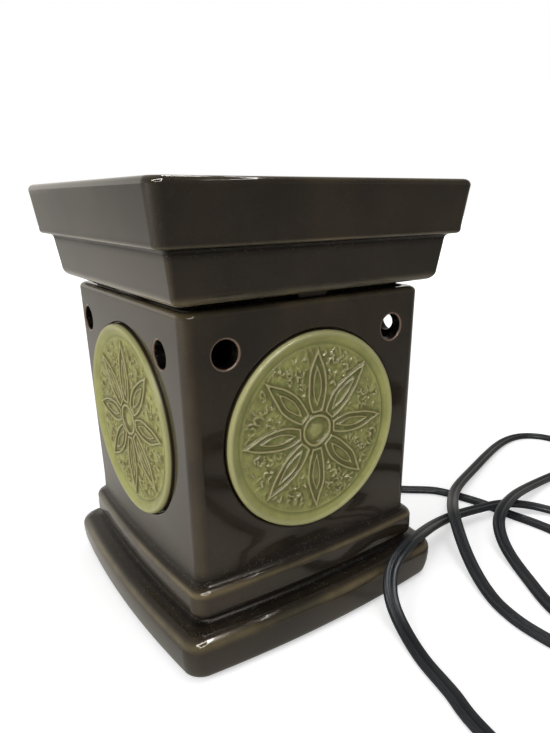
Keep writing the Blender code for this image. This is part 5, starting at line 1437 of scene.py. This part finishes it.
def flat_cord(name, points, settings):
    """Sweep the twin section along a round cord's middle line, laid down to the flat cord's height."""
    half_core = 0.5 * settings.thickness / MM
    section = twin_section(half_core, 0.5 * settings.width / MM - half_core)
    points[:, 2] += half_core - TUBE_RADIUS
    tangents = np.gradient(points, axis=0)
    tangents /= np.linalg.norm(tangents, axis=1)[:, None]
    side = np.cross(tangents, np.array([0.0, 0.0, 1.0]))
    side /= np.linalg.norm(side, axis=1)[:, None]
    up = np.cross(side, tangents)
    rows = [[(spot + across * out + rise * lift) * MM for across, rise in section]
            for spot, out, lift in zip(points, side, up)]
    lengths = run_lengths(points) * MM
    return swept(name, rows, lengths), points * MM, lengths[-1]


class OBJECT_OT_warmer_cord(bpy.types.Operator):
    """Lay the flat twin cord from the body through its coil to the switch and the plug"""

    bl_idname = "object.warmer_cord"
    bl_label = "Cord"

    def execute(self, context):
        settings = context.scene.warmer_cord
        main, path, length = flat_cord("cord_main", cord_line(), settings)
        finish_piece(main, "cord_main", "cord_jacket", "cord_run", "cord_coil", "cord_to_switch", smooth=60.0)
        second, second_path, second_length = flat_cord("cord_plug_lead", lead_line(), settings)
        finish_piece(second, "cord_plug_lead", "cord_jacket", "cord_to_plug", smooth=60.0)
        return {"FINISHED"}


class OBJECT_OT_warmer_bush(bpy.types.Operator):
    """Model the ribbed rubber bush where the cord leaves the plinth"""

    bl_idname = "object.warmer_bush"
    bl_label = "Strain relief"

    def execute(self, context):
        top = FLANGE_SEAT + 1.6
        ribs = 5
        span = NOSE_END - top - 2.4
        tip = (1.9, NOSE_END - 0.3)
        line = [tip, (2.4, NOSE_END), (3.0, NOSE_END), (3.3, NOSE_END - 0.4)]
        for index in range(ribs):
            start = NOSE_END - 1.4 - index * span / ribs
            wide = 3.3 + 1.1 * (NOSE_END - start) / span
            line += [(wide, start), (wide - 0.9, start - 0.35), (wide - 0.9, start - 1.0),
                     (wide + 0.06, start - 1.35)]
        line += [(4.5, top + 0.8), (4.9, top), (5.1, top - 0.1), (5.4, top - 0.5), (5.4, FLANGE_SEAT)]
        line += [(4.2, FLANGE_SEAT), (4.2, 45.7), (5.1, 45.7), (4.2, 44.1), (2.5, 44.1),
                 (2.5, NOSE_END - 2.0), tip]
        bush = settle(spun("bush", line, 40), moved(z=OUTLET_HEIGHT) @ turned(-90.0, "X"))
        finish_piece(bush, "cord_bush", "black_rubber", "strain_relief", smooth=30.0)
        return {"FINISHED"}


# Switch and plug


def end_profile(soft):
    """Points as (inset, rise) from a flat end to the side wall: a round edge, or a small softened one."""
    if not soft:
        return [(0.35, 0.0), (0.0, 0.25)]
    angles = [math.radians(15.0 * step) for step in range(7)]
    return [(soft * (1.0 - math.sin(angle)), soft * (1.0 - math.cos(angle))) for angle in angles]


def switch_shell(name, low, high, round_low, round_high):
    """Half of the switch's case between two heights, with its edges rounded."""
    half_x = 0.5 * SWITCH_LENGTH
    half_y = 0.5 * SWITCH_WIDTH
    levels = [(inset, low + rise) for inset, rise in end_profile(round_low)]
    levels += [(inset, high - rise) for inset, rise in reversed(end_profile(round_high))]
    sections = [(half_x - 1.15 * inset, half_y - inset, 6.4 - 0.6 * inset, z) for inset, z in levels]
    return settle(ring_stack(name, sections, 8), moved(SWITCH_MIDDLE, SWITCH_LINE_Y))


def ribbed_wheel(radius, low, high, ribs, bore):
    """A dial with ribs round its rim and a softened edge."""
    item = prism(6 * ribs, radius, low, high)
    edit(item)
    for side in (1.0, -1.0):
        choose(item, lambda face: face.normal.z * side > 0.9, "FACE")
        bpy.ops.mesh.inset(thickness=0.45 * MM, depth=0.0)
        bpy.ops.transform.translate(value=(0.0, 0.0, 0.4 * side * MM))
        bpy.ops.mesh.inset(thickness=1.1 * MM, depth=-0.35 * MM)
    shape = bmesh.from_edit_mesh(item.data)
    for vert in shape.verts:
        if math.hypot(vert.co.x, vert.co.y) > (radius - 0.7) * MM:
            wave = 0.5 - 0.5 * math.cos(ribs * math.atan2(vert.co.y, vert.co.x))
            pull_in(vert, 0.6 * MM * wave)
    bmesh.update_edit_mesh(item.data)
    activate(item)
    combine(item, rod("bore", bore, low - 3.0, high + 3.0, 32))
    return item


class OBJECT_OT_warmer_switch(bpy.types.Operator):
    """Model the two-part switch case and its ribbed dial"""

    bl_idname = "object.warmer_switch"
    bl_label = "Switch"

    def execute(self, context):
        settings = context.scene.warmer_switch
        top = 2.0 * SWITCH_SPLIT + SWITCH_SEAM
        lower = switch_shell("lower", 0.0, SWITCH_SPLIT, 2.2, 0.0)
        upper = switch_shell("upper", SWITCH_SPLIT + SWITCH_SEAM, top, 0.0, 3.0)
        middle = (SWITCH_MIDDLE, SWITCH_LINE_Y, SWITCH_AXIS)
        for shell in (lower, upper):
            # Room for the contacts, the wheel and the cords
            combine(shell, slab((28.0, SWITCH_WIDTH - 5.2, 5.6), middle))
            combine(shell, settle(rod("room", 8.6, -2.8, 2.8, 48), moved(*WHEEL_PLACE)))
            for side in (1, -1):
                end = (SWITCH_MIDDLE + side * 0.5 * SWITCH_LENGTH, SWITCH_LINE_Y, SWITCH_AXIS)
                combine(shell, slab((9.0, 6.1, 3.2), end, 1.1))
        # The sinks for the two screws, from below
        line = [(0.0, -1.0), (2.6, -1.0), (2.6, 2.7), (1.5, 2.9), (1.5, 4.0), (0.0, 4.0)]
        sinks = [moved(SWITCH_MIDDLE + side * 18.5, SWITCH_LINE_Y - 5.2) for side in (1, -1)]
        punch_all(lower, spun("sink", line, 32), sinks)
        # The shallow round recess on top, and grip lines beside it
        crown = spun("crown", [(0.0, 17.2), (7.2, 17.2), (7.2, 16.1), (6.6, 15.9), (0.0, 15.9)], 64)
        combine(upper, settle(crown, moved(SWITCH_MIDDLE, SWITCH_LINE_Y)))
        for index in range(3):
            for side in (1, -1):
                place = (SWITCH_MIDDLE + side * (14.0 + 2.4 * index), SWITCH_LINE_Y, 16.5)
                combine(upper, slab((0.9, SWITCH_WIDTH - 7.0, 0.9), place, 0.25))
        for shell, name in ((lower, "lower"), (upper, "upper")):
            finish_piece(shell, "switch_case_" + name, "black_plastic", "switch_%s_shell" % name,
                         smooth=32.0, weighted=True)
        wheel = settle(ribbed_wheel(8.0, -2.1, 2.1, settings.wheel_ribs, 1.5), moved(*WHEEL_PLACE))
        finish_piece(wheel, "switch_dial_wheel", "black_rubber", "switch_wheel", body="switch_dial",
                     smooth=32.0)
        return {"FINISHED"}


def plug_blade(x, y, width):
    """A flat blade from the plug's face, with a slimmer tip and a hole."""
    blade = slab((21.0, 1.5, width), (x + 5.5, y, PLUG_HALF_HEIGHT), 0.3)
    edit(blade)
    tip = (x + 15.0) * MM
    choose(blade, lambda vert: vert.co.x > tip)
    bpy.ops.transform.resize(value=(1.0, 0.6, 0.72), center_override=(tip, y * MM, PLUG_HALF_HEIGHT * MM))
    hole = rod("hole", 1.6, -2.0, 2.0, 24)
    combine(blade, settle(hole, moved(x + 12.0, y, PLUG_HALF_HEIGHT) @ turned(90.0, "X")))
    return blade


class OBJECT_OT_warmer_plug(bpy.types.Operator):
    """Model the moulded plug and its two blades"""

    bl_idname = "object.warmer_plug"
    bl_label = "Plug"

    def execute(self, context):
        settings = context.scene.warmer_switch
        # Half width and half height along the plug
        stations = ((0.0, 4.4, 3.6), (0.6, 4.9, 4.2), (8.4, 5.3, 4.4), (10.2, 5.9, 4.8), (12.4, 8.6, 6.0),
                    (14.6, 9.7, 6.6), (19.8, 11.6, 7.5), (23.5, 12.1, 7.7), (29.0, 12.6, 8.0),
                    (30.6, 12.5, 7.9), (31.6, 12.0, 7.5), (32.0, 11.3, 6.9))
        grip_start, grip_length, grip_depth = 14.0, 14.0, 0.55
        sections = []
        for along, wide, high in smooth_line(stations, 64):
            share = (along - grip_start) / grip_length
            if 0.0 < share < 1.0:
                wide -= grip_depth * math.sin(math.pi * share * settings.grip_ribs) ** 2
            sections.append((wide, high, 0.62 * high, along))
        swing = turned(90.0, "Y") @ turned(90.0, "Z")
        plug = settle(ring_stack("plug", sections, 8),
                      moved(PLUG_START, PLUG_LINE_Y, PLUG_HALF_HEIGHT) @ swing)
        face_x = PLUG_START + PLUG_LENGTH
        blades = []
        for side, width in ((-1, 6.3), (1, 7.9)):
            y = PLUG_LINE_Y + side * 6.35
            combine(plug, slab((6.0, 1.9, width + 0.4), (face_x, y, PLUG_HALF_HEIGHT)))
            blades.append(plug_blade(face_x, y, width))
        finish_piece(plug, "plug_moulded", "black_plastic", "plug_body", smooth=40.0, weighted=True)
        finish_piece(joined(blades, "blades"), "plug_blades", "brass", "plug_blade_narrow",
                     "plug_blade_wide", look="blade", smooth=30.0)
        return {"FINISHED"}


# Lamp and fixings


def wall_points(radius, start, step, count):
    """Points along a straight wall, close enough together for a thread."""
    return [(radius, start + step * index) for index in range(count)]


def threaded(item, low, high, pitch, depth):
    """Press a right-hand thread into the side of a turned piece between two heights."""
    edit(item)
    shape = bmesh.from_edit_mesh(item.data)
    for vert in shape.verts:
        z = vert.co.z / MM
        if low < z < high and math.hypot(vert.co.x, vert.co.y) > 0.0:
            turn = math.atan2(vert.co.y, vert.co.x) / (2.0 * math.pi)
            wave = 0.5 + 0.5 * math.cos(2.0 * math.pi * (z / pitch - turn))
            fade = min(1.0, (z - low) / (0.6 * pitch), (high - z) / (0.6 * pitch))
            pull_in(vert, depth * MM * (1.0 - wave) * fade)
    bmesh.update_edit_mesh(item.data)
    activate(item)
    return item


def hex_nut(across, low, high, bore):
    """A hexagon nut with turned-down corners and a plain bore."""
    half = 0.5 * across
    reach = across / math.sqrt(3.0)
    chamfer = 0.6 * (reach - half)
    nut = prism(6, reach, low, high)
    line = [(0.0, low - 0.01), (half, low - 0.01), (reach + 0.01, low + chamfer),
            (reach + 0.01, high - chamfer), (half, high + 0.01), (0.0, high + 0.01)]
    combine(nut, spun("turned", line, 48), "INTERSECT")
    line = [(0.0, low - 1.0), (bore + 0.4, low - 1.0), (bore + 0.4, low), (bore, low + 0.4),
            (bore, high - 0.4), (bore + 0.4, high), (bore + 0.4, high + 1.0), (0.0, high + 1.0)]
    combine(nut, spun("bore", line, 32))
    return nut


def round_wire(name, points, radius, sides):
    """A round wire along points, drawn as a curve and made a mesh."""
    data = bpy.data.curves.new(name, "CURVE")
    data.dimensions = "3D"
    data.bevel_depth = radius * MM
    data.bevel_resolution = sides // 4
    data.use_fill_caps = True
    spline = data.splines.new("POLY")
    spline.points.add(len(points) - 1)
    for spot, point in zip(spline.points, points):
        spot.co = (point[0] * MM, point[1] * MM, point[2] * MM, 1.0)
    item = bpy.data.objects.new(name, data)
    bpy.context.collection.objects.link(item)
    activate(item)
    bpy.ops.object.convert(target="MESH")
    return bpy.context.active_object


class OBJECT_OT_warmer_bulb(bpy.types.Operator):
    """Model the globe bulb: glass, threaded base, tip, stem and filament"""

    bl_idname = "object.warmer_bulb"
    bl_label = "Bulb"

    def execute(self, context):
        settings = context.scene.warmer_lamp
        self.globe(settings.globe_radius / MM, settings.glass_wall / MM)
        low, high = 49.7, 62.1
        line = [(4.6, low), (5.2, low), (5.55, low + 0.4)] + wall_points(5.9, low + 0.8, 0.3, 35)
        line += [(5.9, high - 0.6), (6.0, high - 0.2), (5.75, high), (5.4, high), (5.4, 55.2), (4.8, 55.0),
                 (4.8, low + 0.6), (4.6, low)]
        base = threaded(spun("base", line, 64), low + 0.5, high - 1.2, LAMP_PITCH, settings.thread_depth / MM)
        finish_piece(base, "bulb_base_shell", "brass", "bulb_screw_base", body="bulb", look="bulb_shell",
                     smooth=50.0)
        line = [(0.0, 49.4), (5.2, 49.4), (5.55, 49.0), (4.9, 48.3), (3.2, 47.3), (2.7, 47.1), (0.0, 47.1)]
        finish_piece(spun("cone", line, 48), "bulb_end_glass", "black_glass", "bulb_insulator",
                     body="bulb_end", smooth=40.0)
        line = [(0.0, 46.8), (2.3, 46.8), (2.3, 46.5), (2.0, 46.0), (1.1, 45.68), (0.0, 45.6)]
        finish_piece(spun("tip", line, 40), "bulb_end_contact", "brass", "bulb_tip_contact",
                     body="bulb_end", smooth=50.0)
        line = [(0.0, 78.0), (1.0, 77.9), (1.5, 77.4), (1.6, 76.7), (1.3, 75.6), (1.2, 74.0), (1.2, 63.5),
                (1.4, 61.5), (2.3, 59.0), (3.4, 57.4), (3.95, 56.6), (3.95, 56.0), (0.0, 56.0)]
        finish_piece(spun("stem", line, 40), "bulb_stem_glass", "bulb_glass", "bulb_stem", body="bulb",
                     smooth=70.0)
        self.filament()
        return {"FINISHED"}

    def globe(self, radius, wall):
        """The glass: a ball that runs down into a neck, of even thickness."""
        top = 114.5
        middle = top - radius
        thinner = radius - wall
        outer = arc((0.0, middle), (radius, radius), 90.0, -66.0, 40)
        outer[0] = (0.0, top)
        outer += [(8.3, 65.9), (6.9, 64.9), (6.1, 63.9), (5.5, 63.2), (5.1, 62.6), (5.1, 55.5)]
        inner = []
        for x, z in reversed(outer[1:]):
            if z > 66.5:
                away = math.hypot(x, z - middle)
                inner.append((x * thinner / away, middle + (z - middle) * thinner / away))
            else:
                inner.append((x - wall, z + (0.35 * wall if z > 60.0 else 0.0)))
        inner.append((0.0, top - wall))
        finish_piece(spun("globe", outer + inner, 72), "bulb_globe", "bulb_glass", "bulb_glass",
                     body="bulb", smooth=80.0)

    def filament(self):
        """The coiled filament between its two support wires."""
        reach = 9.0
        top = 88.0
        wires = []
        for side in (-1, 1):
            knots = [(side * 1.9, 0.0, 64.0), (side * 2.6, 0.0, 69.5), (side * reach, 0.0, top - 2.2),
                     (side * reach, 0.0, top)]
            wires.append(round_wire("wire", smooth_line(knots, 24), 0.32, 8))
        finish_piece(joined(wires, "supports"), "bulb_wires", "tungsten", "bulb_lead_wire_left",
                     "bulb_lead_wire_right", body="bulb", smooth=50.0)
        turns = 46
        coil = 0.26
        points = []
        for step in range(turns * 10 + 1):
            share = step / (turns * 10)
            around = math.pi * share
            twist = 2.0 * math.pi * turns * share
            swell = coil * math.cos(twist)
            points.append(((reach + swell) * math.cos(around), (0.35 * reach + swell) * math.sin(around),
                           top + 0.6 + coil * math.sin(twist)))
        finish_piece(round_wire("coil", points, 0.07, 5), "bulb_filament_coil", "tungsten",
                     "bulb_filament", body="bulb", smooth=60.0)


class OBJECT_OT_warmer_socket(bpy.types.Operator):
    """Model the lamp socket and the fixings that the eye can reach"""

    bl_idname = "object.warmer_socket"
    bl_label = "Socket and fixings"

    def execute(self, context):
        line = [(7.3, 60.0), (7.9, 60.0), (10.4, 60.0), (10.9, 59.6), (11.0, 59.1), (11.0, 57.4),
                (10.6, 57.1), (10.6, 56.6), (11.0, 56.3), (11.0, 34.0), (10.8, 33.6), (9.6, 31.0),
                (9.3, 30.0), (9.3, 27.1), (10.2, 26.6), (10.2, 26.2), (5.1, 26.2), (5.1, 37.0),
                (6.2, 37.0), (6.2, 42.7), (7.3, 42.7), (7.3, 60.0)]
        finish_piece(spun("socket", line, 64), "socket_case", "phenolic", "socket_body", smooth=32.0)
        line = [(6.9, 44.5)] + wall_points(6.9, 44.8, 0.3, 49) + [(6.9, 59.5), (6.4, 59.5)]
        line += wall_points(6.4, 59.2, -0.3, 49) + [(6.4, 44.5), (6.9, 44.5)]
        shell = threaded(spun("shell", line, 64), 45.0, 59.0, LAMP_PITCH, 0.25)
        finish_piece(shell, "socket_thread", "brass", "socket_screw_shell", smooth=50.0)
        self.feet()
        self.screws()
        nut = hex_nut(14.0, 18.7, 22.7, 5.1)
        finish_piece(nut, "nipple_nut", "steel", "socket_nut", smooth=30.0)
        for name, slot in (("base_plate", "black_plastic"), ("clamp_bar", "steel"),
                           ("socket_nipple", "steel"), ("socket_washer", "steel"),
                           ("socket_insulator", "red_fibre"), ("socket_contact", "brass"),
                           ("lead_live", "lead_black"), ("lead_neutral", "lead_white"),
                           ("switch_pin", "steel"), ("switch_contact_in", "brass"),
                           ("switch_contact_out", "brass"), ("switch_screw_in", "steel"),
                           ("switch_screw_out", "steel")):
            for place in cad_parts[name].material_slots:
                place.material = finish(slot)
        return {"FINISHED"}

    def feet(self):
        """The four push-in feet with their barbs."""
        line = [(0.0, 8.4), (1.1, 8.4), (1.6, 8.0), (2.7, 6.5), (2.8, 6.2), (2.8, 6.0), (1.9, 6.0),
                (1.9, 2.2), (5.2, 2.2), (5.5, 1.9), (5.5, 0.9), (5.3, 0.3), (4.9, 0.0), (2.6, 0.0),
                (2.3, 0.25), (0.0, 0.35)]
        for row, y in (("front", -FOOT_PLACE), ("back", FOOT_PLACE)):
            for side, x in (("left", -FOOT_PLACE), ("right", FOOT_PLACE)):
                place = row + "_" + side
                finish_piece(settle(spun("foot", line, 40), moved(x, y)), "rubber_foot_" + place,
                             "black_rubber", "foot_" + place, smooth=32.0)

    def screws(self):
        """The two cross-slotted screws that clamp the base plate, and their nuts."""
        line = [(0.0, 30.5), (1.6, 30.5), (2.0, 30.1)] + wall_points(2.0, 29.8, -0.25, 62)
        line += [(2.0, 5.7), (3.9, 5.7), (3.9, 4.5), (3.6, 3.8), (2.7, 3.3), (1.2, 3.2), (0.0, 3.2)]
        for label, x in (("left", -SCREW_PLACE), ("right", SCREW_PLACE)):
            screw = threaded(spun("screw", line, 32), 15.0, 30.2, 0.8, 0.28)
            for turn in (0.0, 90.0):
                combine(screw, settle(slab((3.6, 0.75, 2.0), (0.0, 0.0, 3.4), 0.1), turned(turn, "Z")))
            finish_piece(settle(screw, moved(x)), "case_screw_" + label, "steel", "clamp_screw_" + label,
                         smooth=35.0)
            finish_piece(settle(hex_nut(7.0, 26.2, 29.4, 2.3), moved(x)), "case_nut_" + label, "steel",
                         "clamp_nut_" + label, smooth=30.0)


# Stage


class OBJECT_OT_warmer_stage(bpy.types.Operator):
    """Set the camera, the soft lamps, the window's glints, the pale floor and the room"""

    bl_idname = "object.warmer_stage"
    bl_label = "Stage"

    def execute(self, context):
        settings = context.scene.warmer_stage
        context.scene.view_settings.view_transform = "Standard"
        self.camera(context, settings)
        self.floor(settings)
        self.room(context, settings)
        for name, power, side, place, target in (
                ("lamp_key", settings.key, 0.6, (-0.95, -0.3, 0.5), (0.0, 0.0, 0.07)),
                ("lamp_top", settings.top, 0.5, (0.05, -0.2, 0.95), (0.0, 0.0, 0.05))):
            self.lamp(context, name, power, (side, side), place, target).visible_glossy = False
        self.window(context, settings)
        return {"FINISHED"}

    def window(self, context, settings):
        """A bright frame and a strip overhead that only show as glints in the glaze."""
        middle = Vector(settings.window_place)
        strip = Vector(settings.strip_place)
        wide, long = settings.window_size
        post, rail = 0.025, 0.03
        bars = [(middle + Vector((-0.5 * wide, 0.0, 0.0)), post, long),
                (middle + Vector((0.5 * wide, 0.0, 0.0)), post, long),
                (middle + Vector((0.0, -0.5 * long, 0.0)), wide, rail),
                (middle + Vector((0.0, 0.5 * long, 0.0)), wide, rail),
                (strip, 0.06, 0.02),
                (strip + Vector((0.05, -0.21, 0.0)), 0.0025, 0.42)]
        for index, (place, size_x, size_y) in enumerate(bars):
            power = settings.glint * math.pi * size_x * size_y
            bar = self.lamp(context, "window_%d" % index, power, (size_x, size_y), place,
                            place - Vector((0.0, 0.0, 1.0)))
            bar.visible_diffuse = False

    def camera(self, context, settings):
        """The camera with the picture's own view."""
        yaw, pitch = settings.yaw, settings.pitch
        back = Vector((math.sin(yaw) * math.cos(pitch), -math.cos(yaw) * math.cos(pitch), math.sin(pitch)))
        right = Vector((math.cos(yaw), math.sin(yaw), 0.0))
        up = back.cross(right)
        along, across = math.cos(settings.roll), math.sin(settings.roll)
        right, up = along * right + across * up, along * up - across * right
        data = bpy.data.cameras.new("camera")
        data.sensor_fit = "HORIZONTAL"
        data.sensor_width = 36.0
        data.lens = settings.focal / PHOTO_WIDTH * data.sensor_width
        data.shift_x = (0.5 * PHOTO_WIDTH - settings.centre[0]) / PHOTO_WIDTH
        data.shift_y = (settings.centre[1] - 0.5 * PHOTO_HEIGHT) / PHOTO_WIDTH
        data.clip_start = 0.005
        data.clip_end = 20.0
        item = bpy.data.objects.new("camera", data)
        context.scene.collection.objects.link(item)
        item.matrix_world = Matrix((
            (right.x, up.x, back.x, settings.place[0]),
            (right.y, up.y, back.y, settings.place[1]),
            (right.z, up.z, back.z, settings.place[2]),
            (0.0, 0.0, 0.0, 1.0),
        ))
        context.scene.camera = item

    def floor(self, settings):
        """A wide pale floor that shows white in the picture and keeps the shadow."""
        start_clean()
        bpy.ops.mesh.primitive_plane_add(size=8.0)
        item = bpy.context.active_object
        item.name = "floor"
        material, tree, shader = principled("floor_pale", Roughness=0.9, Specular_IOR_Level=0.0)
        path = tree.nodes.new("ShaderNodeLightPath").outputs
        place = object_place(tree)
        # In the glaze it is warm, and darker in front of the object
        parts = node(tree, "ShaderNodeSeparateXYZ", {"Vector": place}).outputs
        ahead = linear(tree, parts["X"], 0.15, times(tree, parts["Y"], -1.0))
        dim = times(tree, spread(tree, ahead, -0.2, 0.4, 0.0, 0.6), path["Is Glossy Ray"])
        base = mix_colour(tree, dim, colour(settings.floor_colour), BLACK)
        warm = mix_colour(tree, path["Is Glossy Ray"], WHITE, FLOOR_WARMTH)
        base = mix_colour(tree, 1.0, base, warm, "MULTIPLY")
        feed(tree, shader.inputs["Base Color"], base)
        # To the camera it also glows, more with the distance, so that it ends in white
        reach = node(tree, "ShaderNodeVectorMath", {0: place}, operation="LENGTH").outputs["Value"]
        seen = times(tree, path["Is Camera Ray"], spread(tree, reach, 0.25, 1.5, 0.47, 1.0))
        glow = node(tree, "ShaderNodeEmission", {"Color": WHITE, "Strength": seen}).outputs["Emission"]
        both = node(tree, "ShaderNodeAddShader", {0: shader.outputs["BSDF"], 1: glow}).outputs["Shader"]
        feed(tree, tree.nodes["Material Output"].inputs["Surface"], both)
        item.data.materials.append(material)
        start_clean()

    def room(self, context, settings):
        """A white room behind, paler in the glaze and softer on dull surfaces."""
        world = bpy.data.worlds.new("room")
        world.use_nodes = True
        tree = world.node_tree
        back = tree.nodes["Background"]
        path = tree.nodes.new("ShaderNodeLightPath").outputs
        shiny = maths(tree, "MAXIMUM", path["Is Glossy Ray"], path["Is Transmission Ray"])
        toward = node(tree, "ShaderNodeTexCoord").outputs["Generated"]
        parts = node(tree, "ShaderNodeSeparateXYZ", {"Vector": toward}).outputs
        behind = linear(tree, parts["X"], -0.35, parts["Y"])
        behind = spread(tree, behind, -0.5, 0.7, settings.dark_side, settings.surround)
        height = spread(tree, parts["Z"], 0.1, 0.6, 1.0, 0.5)
        level = node(tree, "ShaderNodeMix", {0: shiny, 2: settings.fill,
                                             3: times(tree, behind, height)}).outputs[0]
        feed(tree, back.inputs["Strength"], maths(tree, "MAXIMUM", level, path["Is Camera Ray"]))
        feed(tree, back.inputs["Color"], mix_colour(tree, shiny, WHITE, ROOM_WARMTH))
        context.scene.world = world

    def lamp(self, context, name, power, size, place, target):
        """A soft oblong lamp that looks at a point."""
        data = bpy.data.lights.new(name, "AREA")
        data.energy = power
        data.shape = "RECTANGLE"
        data.size, data.size_y = size
        item = bpy.data.objects.new(name, data)
        context.scene.collection.objects.link(item)
        item.location = place
        item.rotation_euler = (Vector(place) - Vector(target)).to_track_quat("Z", "Y").to_euler()
        return item


class VIEW3D_PT_warmer(bpy.types.Panel):
    """Lists the pieces of the warmer"""

    bl_label = "Wax warmer"
    bl_idname = "VIEW3D_PT_warmer"
    bl_space_type = "VIEW_3D"
    bl_region_type = "UI"
    bl_category = "Warmer"

    def draw(self, context):
        for operator in OPERATORS:
            self.layout.operator(operator.bl_idname)
        for key in SETTINGS:
            settings = getattr(context.scene, key)
            box = self.layout.box()
            for name in settings.bl_rna.properties.keys():
                if name not in ("rna_type", "name"):
                    box.prop(settings, name)


OPERATORS = (OBJECT_OT_warmer_stage, OBJECT_OT_warmer_switch, OBJECT_OT_warmer_plug,
             OBJECT_OT_warmer_bush, OBJECT_OT_warmer_cord, OBJECT_OT_warmer_body,
             OBJECT_OT_warmer_dish, OBJECT_OT_warmer_medallions, OBJECT_OT_warmer_bulb,
             OBJECT_OT_warmer_socket)
SETTINGS = {
    "warmer_stage": WarmerStageSettings,
    "warmer_glaze": WarmerGlazeSettings,
    "warmer_body": WarmerBodySettings,
    "warmer_medallion": WarmerMedallionSettings,
    "warmer_cord": WarmerCordSettings,
    "warmer_lamp": WarmerLampSettings,
    "warmer_switch": WarmerSwitchSettings,
}


def register():
    """Register the settings, the operators and the panel."""
    for key, kind in SETTINGS.items():
        bpy.utils.register_class(kind)
        setattr(bpy.types.Scene, key, PointerProperty(type=kind))
    for kind in OPERATORS + (VIEW3D_PT_warmer,):
        bpy.utils.register_class(kind)


def unregister():
    """Remove the classes again."""
    for kind in reversed(OPERATORS + (VIEW3D_PT_warmer,)):
        bpy.utils.unregister_class(kind)
    for key, kind in reversed(list(SETTINGS.items())):
        delattr(bpy.types.Scene, key)
        bpy.utils.unregister_class(kind)


def main():
    """Register the add-on and build everything."""
    register()
    for operator in OPERATORS:
        group, name = operator.bl_idname.split(".")
        getattr(getattr(bpy.ops, group), name)()
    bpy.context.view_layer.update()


if __name__ == "__main__":
    main()
